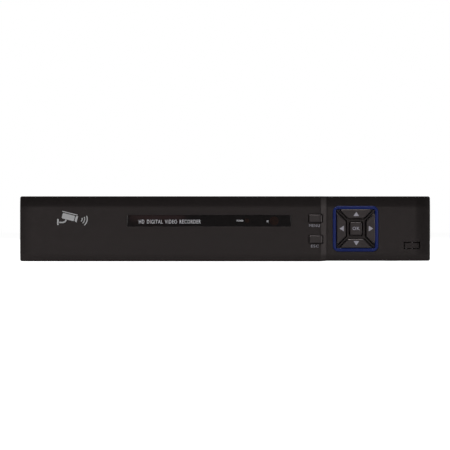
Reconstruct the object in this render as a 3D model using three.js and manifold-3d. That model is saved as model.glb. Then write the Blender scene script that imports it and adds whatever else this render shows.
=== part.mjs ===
// A low, wide digital video recorder: a moulded front bezel with a lit navigation pad, on a sheet-steel
// case that holds the control board, main board, hard drive, fan and rear sockets.
// Millimetres, +Z up. The front faces -Y and the rear sockets face +Y. The origin is on the surface that the
// feet stand on, under the middle of the whole recorder.
import * as THREE from "three";
import { mergeVertices } from "three/addons/utils/BufferGeometryUtils.js";
import Module from "manifold-3d";

const wasm = await Module();
wasm.setup();

// ---------------------------------------------------------------- driving dimensions
const WIDTH = 325; // bezel, side to side
const DEPTH = 257.5; // face of the MENU and ESC keys to the tips of the coaxial sockets
const BEZEL_HEIGHT = 51;
const BEZEL_LIFT = 0.6; // the bezel's lower edge above the surface
const BEZEL_DEPTH = 22; // the bezel's foremost line to its rear rim
const KEY_PROUD = 0.5; // the keys stand this far out of the surface round them
const BULGE = 3.2; // the left panel stands this far proud of the right panel at the step
const SOCKET_REACH = 12; // the coaxial sockets stand this far out of the rear panel
const GAP = 0.3; // clearance between pieces that touch
const SHEET = 1; // steel sheet

const HALF = WIDTH / 2;
const FRONT = -DEPTH / 2 + KEY_PROUD + BULGE; // y of the right panel: depths behind the front start here
const RIM = FRONT + BEZEL_DEPTH - BULGE; // y of the bezel's rear rim
const REAR = DEPTH / 2 - SOCKET_REACH; // y of the rear panel's outer face

// ---------------------------------------------------------------- solids from three.js geometry
const AXES = { x: new THREE.Vector3(1, 0, 0), y: new THREE.Vector3(0, 1, 0), z: new THREE.Vector3(0, 0, 1) };

function solid(geometry) {
  const bare = new THREE.BufferGeometry().setAttribute("position", geometry.getAttribute("position"));
  if (geometry.index) bare.setIndex(geometry.index);
  const merged = mergeVertices(bare, 1e-4);
  return new wasm.Manifold(
    new wasm.Mesh({
      numProp: 3,
      vertProperties: new Float32Array(merged.attributes.position.array),
      triVerts: new Uint32Array(merged.index.array),
    }),
  );
}

function geometryOf(made) {
  const mesh = made.getMesh();
  const points = new Float32Array(mesh.numVert * 3);
  for (let i = 0; i < mesh.numVert; i++) {
    points.set(mesh.vertProperties.subarray(i * mesh.numProp, i * mesh.numProp + 3), i * 3);
  }
  const geometry = new THREE.BufferGeometry();
  geometry.setAttribute("position", new THREE.BufferAttribute(points, 3));
  geometry.setIndex(new THREE.BufferAttribute(new Uint32Array(mesh.triVerts), 1));
  geometry.computeVertexNormals();
  return geometry;
}

const join = (...solids) => solids.reduce((a, b) => a.add(b));
const cut = (from, ...tools) => tools.reduce((a, b) => a.subtract(b), from);

function block(x0, x1, y0, y1, z0, z1) {
  const geometry = new THREE.BoxGeometry(x1 - x0, y1 - y0, z1 - z0);
  return solid(geometry.translate((x0 + x1) / 2, (y0 + y1) / 2, (z0 + z1) / 2));
}

// Outlines are THREE.Shapes in (x, z) for a prism along Y, in (x, y) along Z, and in (y, z) along X.
function outline(points) {
  return new THREE.Shape(points.map(([a, b]) => new THREE.Vector2(a, b)));
}

function roundedRect(cx, cz, width, height, radius) {
  const [w, h, r] = [width / 2, height / 2, radius];
  const shape = new THREE.Shape();
  shape.moveTo(cx - w + r, cz - h);
  shape.absarc(cx + w - r, cz - h + r, r, -Math.PI / 2, 0, false);
  shape.absarc(cx + w - r, cz + h - r, r, 0, Math.PI / 2, false);
  shape.absarc(cx - w + r, cz + h - r, r, Math.PI / 2, Math.PI, false);
  shape.absarc(cx - w + r, cz - h + r, r, Math.PI, 1.5 * Math.PI, false);
  return shape;
}

function circle(cx, cz, radius) {
  return new THREE.Shape().absarc(cx, cz, radius, 0, 2 * Math.PI, false);
}

// Every arc of the outline becomes this many straight sides.
function extrude(shape, depth, sides) {
  return new THREE.ExtrudeGeometry(shape, { depth, bevelEnabled: false, curveSegments: sides / 2 });
}

function prismY(shape, y0, y1, sides = 4) {
  const turned = new THREE.Matrix4().makeBasis(AXES.x, AXES.z, AXES.y.clone().negate());
  return solid(extrude(shape, y1 - y0, sides).applyMatrix4(turned).translate(0, y1, 0));
}

function prismZ(shape, z0, z1, sides = 4) {
  return solid(extrude(shape, z1 - z0, sides).translate(0, 0, z0));
}

function prismX(shape, x0, x1, sides = 4) {
  const turned = new THREE.Matrix4().makeBasis(AXES.y, AXES.z, AXES.x);
  return solid(extrude(shape, x1 - x0, sides).applyMatrix4(turned).translate(x0, 0, 0));
}

// A turned piece on the line through (x, z) along +Y. Its profile is (radius, y), from the axis and back
// to it: out along the end with the smaller y first.
function turnedY(profile, x, z, sides) {
  const points = profile.map(([r, y]) => new THREE.Vector2(r, y));
  return solid(new THREE.LatheGeometry(points, sides).translate(x, 0, z));
}

function rodX(x0, x1, y, z, radius, sides = 12) {
  return prismX(circle(y, z, radius), x0, x1, sides);
}

function rodY(y0, y1, x, z, radius, sides = 12) {
  return prismY(circle(x, z, radius), y0, y1, sides);
}

function rodZ(z0, z1, x, y, radius, sides = 12) {
  return prismZ(circle(x, y, radius), z0, z1, sides);
}

// ---------------------------------------------------------------- materials
function finish(color, roughness, metalness = 0) {
  return new THREE.MeshStandardMaterial({ color, roughness, metalness });
}

const FINISH = {
  bezel: finish(0x262323, 0.55),
  window: finish(0x0d0a0b, 0.12),
  ring: finish(0x27306a, 0.35),
  key: finish(0x2e2b2c, 0.5),
  blackSteel: finish(0x1c1c1d, 0.6, 0.3),
  zincSteel: finish(0x9da0a2, 0.4, 0.9),
  rubber: finish(0x151515, 0.9),
  board: finish(0x1e5a34, 0.6),
  blackPart: finish(0x17171a, 0.6),
  lamp: finish(0xc9d4e6, 0.3),
  aluminium: finish(0xb7babd, 0.4, 0.9),
  nickel: finish(0xc4c2bb, 0.25, 1),
  cable: finish(0x2b2b2e, 0.6),
};

const recorder = new THREE.Group();

function add(name, made, material) {
  const mesh = new THREE.Mesh(geometryOf(made), material);
  mesh.name = name;
  recorder.add(mesh);
}

// ---------------------------------------------------------------- the front surface
// Places on the front are (x, up): up is the height above the bezel's lower edge.
const up = (height) => BEZEL_LIFT + height;
const STEP_X = 75.3; // the left panel ends here, and a sloped facet falls to the right panel
const STEP_WIDTH = 5.6;
const TOP_BAND = 8.2; // the band that leans back along the top edge
const BOTTOM_BAND = 4.6;
const LEFT_BAND = 12;
const RIGHT_BAND = 13.5;
const RIGHT_RAISE = 0.4; // the right panel's lower edge is this much higher than the left one's
const WALL = 2.8; // front wall
const SIDE_WALL = 2.2;
const FRONT_CORNER = 1.3;

function proud(x) {
  if (x >= STEP_X + STEP_WIDTH) return 0;
  if (x > STEP_X) return BULGE * (1 - (x - STEP_X) / STEP_WIDTH);
  return BULGE * Math.sin((Math.PI / 2) * ((x + HALF) / (STEP_X + HALF)));
}

// How far a band that starts to lean at once, and then more and more, has dropped back after t.
function lean(t, slope, curve) {
  return t > 0 ? t * (slope + curve * t) : 0;
}

function surface(x, height) {
  return (
    FRONT -
    proud(x) +
    lean(height - (BEZEL_HEIGHT - TOP_BAND), 0.1, 0.016) +
    lean(BOTTOM_BAND - height, 0.08, 0.02) +
    lean(LEFT_BAND - HALF - x, 0, 0.005) +
    lean(x - (HALF - RIGHT_BAND), 0.06, 0.01)
  );
}

function steps(from, to, count) {
  return Array.from({ length: count }, (_, i) => from + ((to - from) * i) / count);
}

const GRID_X = [
  ...steps(-HALF, LEFT_BAND - HALF, 3),
  ...steps(LEFT_BAND - HALF, STEP_X, 9),
  STEP_X,
  STEP_X + STEP_WIDTH,
  ...steps(HALF - RIGHT_BAND, HALF, 4),
  HALF,
];
const GRID_UP = [
  ...steps(0, BOTTOM_BAND, 2),
  BOTTOM_BAND,
  ...steps(BEZEL_HEIGHT - TOP_BAND, BEZEL_HEIGHT, 3),
  BEZEL_HEIGHT,
];

// A slab under the front surface, from one depth behind it to another, or to a flat plane at toPlane.
function skin(from, to, toPlane = false) {
  const [nx, nz] = [GRID_X.length, GRID_UP.length];
  const points = [];
  for (const layer of [0, 1]) {
    for (const height of GRID_UP) {
      for (const x of GRID_X) {
        const y = layer === 0 ? surface(x, height) + from : toPlane ? to : surface(x, height) + to;
        points.push(x, y, up(height));
      }
    }
  }
  const at = (layer, i, j) => layer * nx * nz + j * nx + i;
  const faces = [];
  const quad = (a, b, c, d) => faces.push(a, b, c, a, c, d);
  for (let j = 0; j + 1 < nz; j++) {
    for (let i = 0; i + 1 < nx; i++) {
      quad(at(0, i, j), at(0, i + 1, j), at(0, i + 1, j + 1), at(0, i, j + 1));
      quad(at(1, i, j), at(1, i, j + 1), at(1, i + 1, j + 1), at(1, i + 1, j));
    }
  }
  for (let i = 0; i + 1 < nx; i++) {
    quad(at(0, i + 1, 0), at(0, i, 0), at(1, i, 0), at(1, i + 1, 0));
    quad(at(0, i, nz - 1), at(0, i + 1, nz - 1), at(1, i + 1, nz - 1), at(1, i, nz - 1));
  }
  for (let j = 0; j + 1 < nz; j++) {
    quad(at(0, 0, j), at(0, 0, j + 1), at(1, 0, j + 1), at(1, 0, j));
    quad(at(0, nx - 1, j + 1), at(0, nx - 1, j), at(1, nx - 1, j), at(1, nx - 1, j + 1));
  }
  const geometry = new THREE.BufferGeometry();
  geometry.setAttribute("position", new THREE.Float32BufferAttribute(points, 3));
  geometry.setIndex(faces);
  return solid(geometry);
}

// ---------------------------------------------------------------- what sits on the front
const WINDOW = { x: -12.6, up: 31.7, width: 130.2, height: 9.6, corner: 0.5, pocket: 1.6, lens: 1.1 };
const LED = { x: 17.6, up: 31.9, size: 3.2 };
const INFRARED = { x: 38.9, up: 31.65, radius: 3.5 };
const PAD = { x: 103.8, up: 25.7 }; // centre of the navigation pad
const RING = { width: 36.2, height: 36.3, corner: 4.6, inner: 31.5, innerCorner: 2.3, proud: 0.3, depth: 4.6 };
const RING_FLANGE = { reach: 1.3, from: 3.5 };
const FRAME = { rib: 1.3, okWidth: 11, okHeight: 11.8, border: 1.65, front: 0.4, back: 5.9, backPlate: 1 };
const ARROW = { outer: 15.35, inner: 8.15, fromDiagonal: 1.95, post: 11.9 };
const OK_KEY = { width: 9.6, height: 10.4, corner: 1.2 };
const SIDE_KEY = { width: 10.4, height: 5.9, corner: 0.5, gap: 0.5 };
const SIDE_KEYS = { menu: { x: 71.7, up: 33.6 }, esc: { x: 72, up: 17.05 } };
const USB_BLANK = { x: 148.2, up: 12.2, width: 12.8, height: 5.7, groove: 0.8, tab: 1.1 };
const SWITCH = { size: 6, front: 9.7, back: 13.2, well: 12, wellRadius: 1.95 };
const STEM = { radius: 1.6, front: 8.9, back: 11 };
const POST = { radius: 1.6, back: 8.6 };
const CONTROL_BOARD = { x0: 4, x1: 133, up0: 3.5, up1: 47, front: 13.5, back: 15.1 };
const BOSSES = [[8, 7], [8, 43], [129, 7], [129, 43]];
const HOOKS = { x: [-120, 120], width: 8, thick: 1.6, up: [4.4, 45], reach: 3.7 };

const behind = (depth) => FRONT + depth;

// A prism through the front wall with this outline.
const through = (shape, sides) => prismY(shape, FRONT - 10, FRONT + 12, sides);
const bezelOutline = outline([
  [-HALF, up(0)],
  [STEP_X, up(0)],
  [STEP_X + STEP_WIDTH, up(RIGHT_RAISE)],
  [HALF, up(RIGHT_RAISE)],
  [HALF, up(BEZEL_HEIGHT)],
  [-HALF, up(BEZEL_HEIGHT)],
]);

function windowPrism(clearance) {
  const { x, up: height, width, corner } = WINDOW;
  return through(
    roundedRect(x, up(height), width - 2 * clearance, WINDOW.height - 2 * clearance, corner),
    2,
  );
}

function usbGroove() {
  const { x, up: height, width, groove, tab } = USB_BLANK;
  const z = up(height);
  const h = USB_BLANK.height;
  const ring = cut(
    through(roundedRect(x, z, width, h, 0.4), 1),
    through(roundedRect(x, z, width - 2 * groove, h - 2 * groove, 0.2), 1),
  );
  return cut(ring, block(x - tab / 2, x + tab / 2, FRONT - 11, FRONT + 13, z - h, z + h));
}

function hook(x, height, side) {
  const half = HOOKS.width / 2;
  const thick = HOOKS.thick / 2;
  const wall = side > 0 ? up(BEZEL_HEIGHT - 1) : up(RIGHT_RAISE + 1);
  const root = side > 0 ? [up(height) - thick, wall] : [wall, up(height) + thick];
  return join(
    block(x - half, x + half, RIM - 2.8, RIM - 0.4, ...root),
    block(x - half, x + half, RIM - 1, RIM + HOOKS.reach, up(height) - thick, up(height) + thick),
  );
}

function bezel() {
  const outer = skin(0, RIM, true)
    .intersect(prismY(bezelOutline, FRONT - 10, RIM + 1))
    .intersect(
      prismY(
        roundedRect(0, up(BEZEL_HEIGHT / 2), WIDTH, BEZEL_HEIGHT, FRONT_CORNER),
        FRONT - 10,
        RIM + 1,
        3,
      ),
    );
  const hollow = skin(WALL, RIM + 1, true).intersect(
    block(
      SIDE_WALL - HALF,
      HALF - SIDE_WALL,
      FRONT - 10,
      RIM + 2,
      up(SIDE_WALL + RIGHT_RAISE),
      up(BEZEL_HEIGHT - SIDE_WALL),
    ),
  );
  let made = cut(outer, hollow);
  for (const [x, height] of BOSSES) {
    const from = surface(x, height) + WALL / 2;
    made = made.add(rodY(from, behind(CONTROL_BOARD.front - GAP), x, up(height), 2.6, 6));
  }
  for (const x of HOOKS.x) {
    made = join(made, hook(x, HOOKS.up[0], -1), hook(x, HOOKS.up[1], 1));
  }
  const holes = [
    skin(-1, WINDOW.pocket).intersect(windowPrism(0)),
    through(roundedRect(LED.x, up(LED.up), LED.size, LED.size, 0.4), 1),
    through(circle(INFRARED.x, up(INFRARED.up), INFRARED.radius), 20),
    through(
      roundedRect(PAD.x, up(PAD.up), RING.width + 2 * GAP, RING.height + 2 * GAP, RING.corner + GAP),
      4,
    ),
    usbGroove(),
  ];
  for (const { x, up: height } of Object.values(SIDE_KEYS)) {
    const { width, corner, gap } = SIDE_KEY;
    holes.push(
      through(
        roundedRect(x, up(height), width + 2 * gap, SIDE_KEY.height + 2 * gap, corner + gap),
        1,
      ),
    );
  }
  return cut(made, ...holes);
}

add("front_bezel", bezel(), FINISH.bezel);
add(
  "display_window",
  skin(0.2, 0.2 + WINDOW.lens).intersect(windowPrism(GAP)),
  FINISH.window,
);

// ---------------------------------------------------------------- navigation pad
function ringOutline(reach, hole) {
  const shape = roundedRect(
    PAD.x,
    up(PAD.up),
    RING.width + 2 * reach,
    RING.height + 2 * reach,
    RING.corner + reach,
  );
  shape.holes.push(roundedRect(PAD.x, up(PAD.up), hole, hole, RING.innerCorner));
  return shape;
}

add(
  "light_ring",
  join(
    prismY(ringOutline(0, RING.inner), behind(-RING.proud), behind(RING.depth)),
    prismY(ringOutline(RING_FLANGE.reach, RING.inner), behind(RING_FLANGE.from), behind(RING.depth)),
  ),
  FINISH.ring,
);

// A bar along each diagonal of the pad, as far out as reach.
function diagonals(reach, y0, y1) {
  const h = FRAME.rib / 2;
  const bars = [1, -1].map((side) => {
    const corner = (along, across) => {
      const c = Math.SQRT1_2;
      return [PAD.x + c * (along - across), up(PAD.up) + side * c * (along + across)];
    };
    const length = reach * Math.SQRT2;
    const points = [
      corner(-length, -h),
      corner(length, -h),
      corner(length, h),
      corner(-length, h),
    ];
    return prismY(outline(side > 0 ? points : points.reverse()), y0, y1);
  });
  return join(...bars);
}

function keypadFrame() {
  const { okWidth, okHeight, border, back, backPlate } = FRAME;
  const z = up(PAD.up);
  const okRim = roundedRect(PAD.x, z, okWidth + 2 * border, okHeight + 2 * border, 0.8);
  const inRing = roundedRect(
    PAD.x,
    z,
    RING.inner - 2 * GAP,
    RING.inner - 2 * GAP,
    RING.innerCorner - GAP,
  );
  const front = join(
    prismY(okRim, behind(FRAME.front), behind(back), 2),
    diagonals(RING.inner, behind(FRAME.front), behind(back)).intersect(
      prismY(inRing, behind(-1), behind(back), 3),
    ),
  );
  const plateOutline = roundedRect(PAD.x, z, RING.width - 0.6, RING.height - 0.6, RING.corner);
  plateOutline.holes.push(roundedRect(PAD.x, z, RING.inner - 0.2, RING.inner - 0.2, 1.9));
  const plate = join(
    prismY(plateOutline, behind(back - backPlate), behind(back), 3),
    diagonals(16.5, behind(back - backPlate), behind(back)),
  );
  const okHole = roundedRect(PAD.x, z, okWidth, okHeight, 1.6);
  return cut(join(front, plate), prismY(okHole, behind(-1), behind(back + 1), 3));
}

add("keypad_frame", keypadFrame(), FINISH.bezel);

// ---------------------------------------------------------------- keys, stems and switches
// An arrow key's outline as seen pointing up, turned by quarter turns about the pad's centre.
function arrowOutline(inner, fromDiagonal, quarterTurns) {
  const corners = [
    [-(inner - fromDiagonal), inner],
    [inner - fromDiagonal, inner],
    [ARROW.outer - fromDiagonal, ARROW.outer],
    [-(ARROW.outer - fromDiagonal), ARROW.outer],
  ];
  const turn = (quarterTurns * Math.PI) / 2;
  return outline(
    corners.map(([a, b]) => [
      PAD.x + a * Math.cos(turn) - b * Math.sin(turn),
      up(PAD.up) + a * Math.sin(turn) + b * Math.cos(turn),
    ]),
  );
}

const KEY_BACK = FRAME.back + GAP + 1;

function arrowKey(quarterTurns) {
  const cap = arrowOutline(ARROW.inner, ARROW.fromDiagonal, quarterTurns);
  const flange = arrowOutline(ARROW.inner - 0.8, ARROW.fromDiagonal - 1, quarterTurns);
  return join(
    prismY(cap, behind(-KEY_PROUD), behind(KEY_BACK)),
    prismY(flange, behind(FRAME.back + GAP), behind(KEY_BACK)),
  );
}

function okKey() {
  const { width, height, corner } = OK_KEY;
  const z = up(PAD.up);
  return join(
    prismY(roundedRect(PAD.x, z, width, height, corner), behind(-KEY_PROUD), behind(KEY_BACK), 3),
    prismY(
      roundedRect(PAD.x, z, width + 2.6, height + 2.6, corner),
      behind(FRAME.back + GAP),
      behind(KEY_BACK),
      3,
    ),
  );
}

const SIDE_FLANGE = { front: 1.9, back: 2.9, reach: 1 };

function sideKey({ x, up: height }) {
  const { width, corner } = SIDE_KEY;
  const cap = skin(-KEY_PROUD, behind(SIDE_FLANGE.back), true).intersect(
    through(roundedRect(x, up(height), width, SIDE_KEY.height, corner), 2),
  );
  const reach = 2 * SIDE_FLANGE.reach;
  const flange = roundedRect(x, up(height), width + reach, SIDE_KEY.height + reach, corner);
  return join(cap, prismY(flange, behind(SIDE_FLANGE.front), behind(SIDE_FLANGE.back), 1));
}

const polar = (quarterTurns) => [
  PAD.x - ARROW.post * Math.sin((quarterTurns * Math.PI) / 2),
  PAD.up + ARROW.post * Math.cos((quarterTurns * Math.PI) / 2),
];

const KEYS = [
  { name: "up", made: arrowKey(0), post: polar(0), from: KEY_BACK },
  { name: "left", made: arrowKey(1), post: polar(1), from: KEY_BACK },
  { name: "down", made: arrowKey(2), post: polar(2), from: KEY_BACK },
  { name: "right", made: arrowKey(3), post: polar(3), from: KEY_BACK },
  { name: "ok", made: okKey(), post: [PAD.x, PAD.up], from: KEY_BACK },
  ...Object.entries(SIDE_KEYS).map(([name, place]) => ({
    name,
    made: sideKey(place),
    post: [place.x, place.up],
    from: SIDE_FLANGE.back,
  })),
];

for (const { name, made, post, from } of KEYS) {
  const [x, height] = post;
  const z = up(height);
  const half = SWITCH.size / 2;
  const rod = rodY(behind(from - 0.5), behind(POST.back), x, z, POST.radius, 8);
  add(`key_${name}`, join(made, rod), FINISH.key);
  add(
    `switch_stem_${name}`,
    rodY(behind(STEM.front), behind(STEM.back), x, z, STEM.radius, 8),
    FINISH.blackPart,
  );
  const body = block(x - half, x + half, behind(SWITCH.front), behind(SWITCH.back), z - half, z + half);
  const well = rodY(behind(SWITCH.front - 1), behind(SWITCH.well), x, z, SWITCH.wellRadius, 8);
  add(`tact_switch_${name}`, cut(body, well), FINISH.zincSteel);
}

// ---------------------------------------------------------------- control board
const RIBBON = { x: 30, header: 12 };

function controlBoard() {
  const { x0, x1, up0, up1, front, back } = CONTROL_BOARD;
  const board = block(x0, x1, behind(front), behind(back), up(up0), up(up1));
  const { x, header } = RIBBON;
  return board.add(block(x - 9, x + 9, behind(back - 0.2), behind(back + 2), up(header - 3), up(header + 3)));
}

add("control_board", controlBoard(), FINISH.board);

const LAMP_BACK = behind(CONTROL_BOARD.front - GAP);
const lampTip = surface(LED.x, LED.up) + WALL + 0.5;
const lampProfile = [
  [0, lampTip],
  [0.9, lampTip + 0.25],
  [1.5, lampTip + 1.3],
  [1.5, lampTip + 4.2],
  [1.9, lampTip + 4.2],
  [1.9, lampTip + 5.2],
  [1.5, lampTip + 5.2],
  [1.5, LAMP_BACK],
  [0, LAMP_BACK],
];
add("power_lamp", turnedY(lampProfile, LED.x, up(LED.up), 10), FINISH.lamp);

function infraredReceiver() {
  const { x, radius } = INFRARED;
  const z = up(INFRARED.up);
  const tip = surface(x, INFRARED.up) + WALL + 0.5;
  const face = tip + 2.2;
  const profile = [[0, tip], [1.4, tip + 0.45], [2.2, tip + 1.6], [2.3, face + 0.5], [0, face + 0.5]];
  const dome = turnedY(profile, x, z, 10);
  const body = block(x - 2.8, x + 2.8, face, face + 3, z - radius, z + radius);
  const legs = [-1.9, 0, 1.9].map((dx) =>
    block(x + dx - 0.3, x + dx + 0.3, face + 2.8, LAMP_BACK, z - 0.3, z + 0.3),
  );
  return join(dome, body, ...legs);
}

add("infrared_receiver", infraredReceiver(), FINISH.blackPart);

// ---------------------------------------------------------------- sheet-steel case
const FLOOR = 3.1; // underside of the case floor
const INSIDE = FLOOR + SHEET; // top of the case floor
const COVER = { half: 160, top: 49.9, bottom: 3.6, bend: 1.6 };
const TRAY = { half: COVER.half - SHEET - GAP, front: RIM + GAP, back: REAR - SHEET - 0.6, lip: 15.1 };
const SIDE_SCREWS = { y: [-85, 95], z: 9.6, hole: 1.7, pilot: 1.55, shank: 1.25 };
const FEET = { x: 135, y: [-85, 95], radius: 7.5, height: FLOOR - GAP };
const BOARD = { x0: -112, x1: 152, y0: 8, y1: 111.5, z0: 9.4, z1: 11 };
const STANDOFFS = [[-106, 14], [-106, 90], [20, 14], [20, 92], [146, 14], [146, 78]];
const DRIVE = { x0: -150, x1: -3, y0: -100, y1: 1.6, z0: 6.4, z1: 32.5 };
const DRIVE_MOUNTS = [[-136, -91], [-136, -7.4], [-60, -91], [-60, -7.4]];

function slot(x, y, width, length) {
  return roundedRect(x, y, width, length, width / 2 - 0.01);
}

function tray() {
  const { half, front, back, lip } = TRAY;
  const wallTop = COVER.top - SHEET - 1;
  let made = join(
    block(-half, half, front, back, FLOOR, INSIDE),
    block(-half, half, front, front + SHEET, FLOOR, wallTop),
    block(-half, half, back - SHEET, back, FLOOR, FLOOR + 5),
    block(-half, SHEET - half, front, back, FLOOR, lip),
    block(half - SHEET, half, front, back, FLOOR, lip),
  );
  for (const [x, y] of STANDOFFS) made = made.add(rodZ(INSIDE - 0.5, BOARD.z0 - GAP, x, y, 2.5, 8));
  for (const [x, y] of DRIVE_MOUNTS) made = made.add(rodZ(INSIDE - 0.5, DRIVE.z0 - GAP, x, y, 4, 8));
  const cuts = [
    block(RIBBON.x - 10, RIBBON.x + 10, front - 1, front + 2, 7.5, 19),
  ];
  for (const [x, y] of DRIVE_MOUNTS) cuts.push(rodZ(FLOOR - 1, DRIVE.z0, x, y, 1.9, 8));
  for (const x of HOOKS.x) {
    for (const height of HOOKS.up) {
      const [w, h] = [HOOKS.width / 2 + 0.5, HOOKS.thick / 2 + 0.4];
      cuts.push(block(x - w, x + w, front - 1, front + 2, up(height) - h, up(height) + h));
    }
  }
  for (const y of SIDE_SCREWS.y) {
    cuts.push(rodX(-half - 2, 2 - half, y, SIDE_SCREWS.z, SIDE_SCREWS.pilot, 10));
    cuts.push(rodX(half - 2, half + 2, y, SIDE_SCREWS.z, SIDE_SCREWS.pilot, 10));
  }
  for (let i = 0; i < 8; i++) {
    cuts.push(prismZ(slot(40 + 12 * i, -40, 3, 44), FLOOR - 1, INSIDE + 1, 2));
  }
  return cut(made, ...cuts);
}

add("base_tray", tray(), FINISH.zincSteel);

const VENTS = { groups: [-50, 45], perGroup: 8, pitch: 6.6, width: 3, length: 18, z: 30 };

function cover() {
  const { half, top, bottom, bend } = COVER;
  const profile = new THREE.Shape();
  profile.moveTo(-half, bottom);
  profile.lineTo(SHEET - half, bottom);
  profile.lineTo(SHEET - half, top - SHEET);
  profile.lineTo(half - SHEET, top - SHEET);
  profile.lineTo(half - SHEET, bottom);
  profile.lineTo(half, bottom);
  profile.absarc(half - bend, top - bend, bend, 0, Math.PI / 2, false);
  profile.absarc(bend - half, top - bend, bend, Math.PI / 2, Math.PI, false);
  const made = prismY(profile, RIM + GAP, REAR, 3);
  const cuts = [];
  for (const side of [-1, 1]) {
    const [x0, x1] = [side * half - 2, side * half + 2];
    for (const y of SIDE_SCREWS.y) cuts.push(rodX(x0, x1, y, SIDE_SCREWS.z, SIDE_SCREWS.hole, 10));
    for (const y of VENTS.groups) {
      for (let i = 0; i < VENTS.perGroup; i++) {
        const at = y + (i - (VENTS.perGroup - 1) / 2) * VENTS.pitch;
        cuts.push(prismX(slot(at, VENTS.z, VENTS.width, VENTS.length), x0, x1, 2));
      }
    }
  }
  return cut(made, ...cuts);
}

add("top_cover", cover(), FINISH.blackSteel);

for (const [sideName, side] of [["left", -1], ["right", 1]]) {
  for (const [endName, y] of [["front", SIDE_SCREWS.y[0]], ["rear", SIDE_SCREWS.y[1]]]) {
    const face = side * (COVER.half + GAP);
    const tip = side * (COVER.half - 5);
    const headTop = face + side * 1.7;
    const z = SIDE_SCREWS.z;
    const head = rodX(Math.min(face, headTop), Math.max(face, headTop), y, z, 2.8, 12);
    const under = headTop - side;
    const shank = rodX(Math.min(tip, under), Math.max(tip, under), y, z, SIDE_SCREWS.shank, 10);
    const driver = (w, h) =>
      block(
        Math.min(headTop - side, headTop + side),
        Math.max(headTop - side, headTop + side),
        y - w,
        y + w,
        z - h,
        z + h,
      );
    add(
      `cover_screw_${sideName}_${endName}`,
      cut(join(head, shank), driver(1.5, 0.35), driver(0.35, 1.5)),
      FINISH.blackSteel,
    );
    const footX = side * FEET.x;
    add(`foot_${sideName}_${endName}`, rodZ(0, FEET.height, footX, y, FEET.radius, 14), FINISH.rubber);
  }
}

// ---------------------------------------------------------------- rear sockets
const ON_BOARD = BOARD.z1 + GAP + 0.05; // underside of whatever stands on the main board
const BEHIND_PANEL = REAR - SHEET - 0.6; // rear face of the bodies that stand behind the rear panel
const COAX = {
  x: [85, 102, 119, 136],
  z: [18.6, 36.4],
  body: 7.25,
  barrel: 4.8,
  bore: 4.05,
  hole: 5.3,
  nut: 7.2,
  insulator: 2.35,
};
const PHONO = { x: [41.5, 55, 68.5], z: [18.5, 32.5], sleeve: 4.15, bore: 1.7, hole: 4.7, reach: 9 };
const VGA = { x: 12, z: 18.2, width: 30.8, height: 12.5, screw: 12.5, screwHole: 3.2, reach: 5.5 };
const HDMI = { x: -18, z: 14.9, width: 15, height: 5.9 };
const LAN = { x: -42, width: 16, height: 13.4, depth: 21, jackWidth: 11.8, jackHeight: 8.2, jackDepth: 13 };
const USB = { x: -64, width: 14.6, height: 15.8, depth: 17, portWidth: 12.6, portHeight: 5.2 };
const POWER = { x: -84, width: 9, height: 11, depth: 14, bore: 3.2, pin: 1 };
const PORT_FACE = REAR + 0.8; // small ports stand this far out of the panel
const FAN = { x: -134, z: 28.4, size: 40, depth: 10, bore: 18.6 };

// The subminiature D outline: a trapezoid, wider at the top.
function dOutline(cx, cz, grow) {
  const [top, bottom, half] = [8.3 + grow, 7.2 + grow, 4 + grow];
  return outline([
    [cx - bottom, cz - half],
    [cx + bottom, cz - half],
    [cx + top, cz + half],
    [cx - top, cz + half],
  ]);
}

function rearPanel() {
  const made = block(1.4 - COVER.half, COVER.half - 1.4, REAR - SHEET, REAR, 3.5, COVER.top - SHEET - GAP);
  const hole = (shape, segments) => prismY(shape, REAR - 3, REAR + 2, segments);
  const rect = (x, z0, z1, width) => roundedRect(x, (z0 + z1) / 2, width, z1 - z0, 0.4);
  const cuts = [
    hole(dOutline(VGA.x, VGA.z, 0.5)),
    hole(circle(VGA.x - VGA.screw, VGA.z, VGA.screwHole), 10),
    hole(circle(VGA.x + VGA.screw, VGA.z, VGA.screwHole), 10),
    hole(rect(HDMI.x, HDMI.z - HDMI.height / 2 - 0.4, HDMI.z + HDMI.height / 2 + 0.4, HDMI.width + 0.8), 1),
    hole(rect(LAN.x, ON_BOARD - 0.35, ON_BOARD + LAN.height + 0.4, LAN.width + 0.8), 1),
    hole(rect(USB.x, ON_BOARD - 0.35, ON_BOARD + USB.height + 0.4, USB.width + 0.8), 1),
    hole(rect(POWER.x, ON_BOARD - 0.35, ON_BOARD + POWER.height + 0.4, POWER.width + 0.8), 1),
  ];
  for (const x of COAX.x) for (const z of COAX.z) cuts.push(hole(circle(x, z, COAX.hole), 12));
  for (const x of PHONO.x) for (const z of PHONO.z) cuts.push(hole(circle(x, z, PHONO.hole), 10));
  for (let i = -4; i <= 4; i++) {
    const length = 2 * Math.sqrt(17.6 ** 2 - (i * 3.9) ** 2);
    cuts.push(hole(slot(FAN.x + i * 3.9, FAN.z, 2.4, Math.max(length, 6)), 2));
  }
  for (let i = 0; i < 12; i++) cuts.push(hole(slot(-86 + i * 9, 38, 3, 11), 2));
  return cut(made, ...cuts);
}

add("rear_panel", rearPanel(), FINISH.blackSteel);

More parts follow.
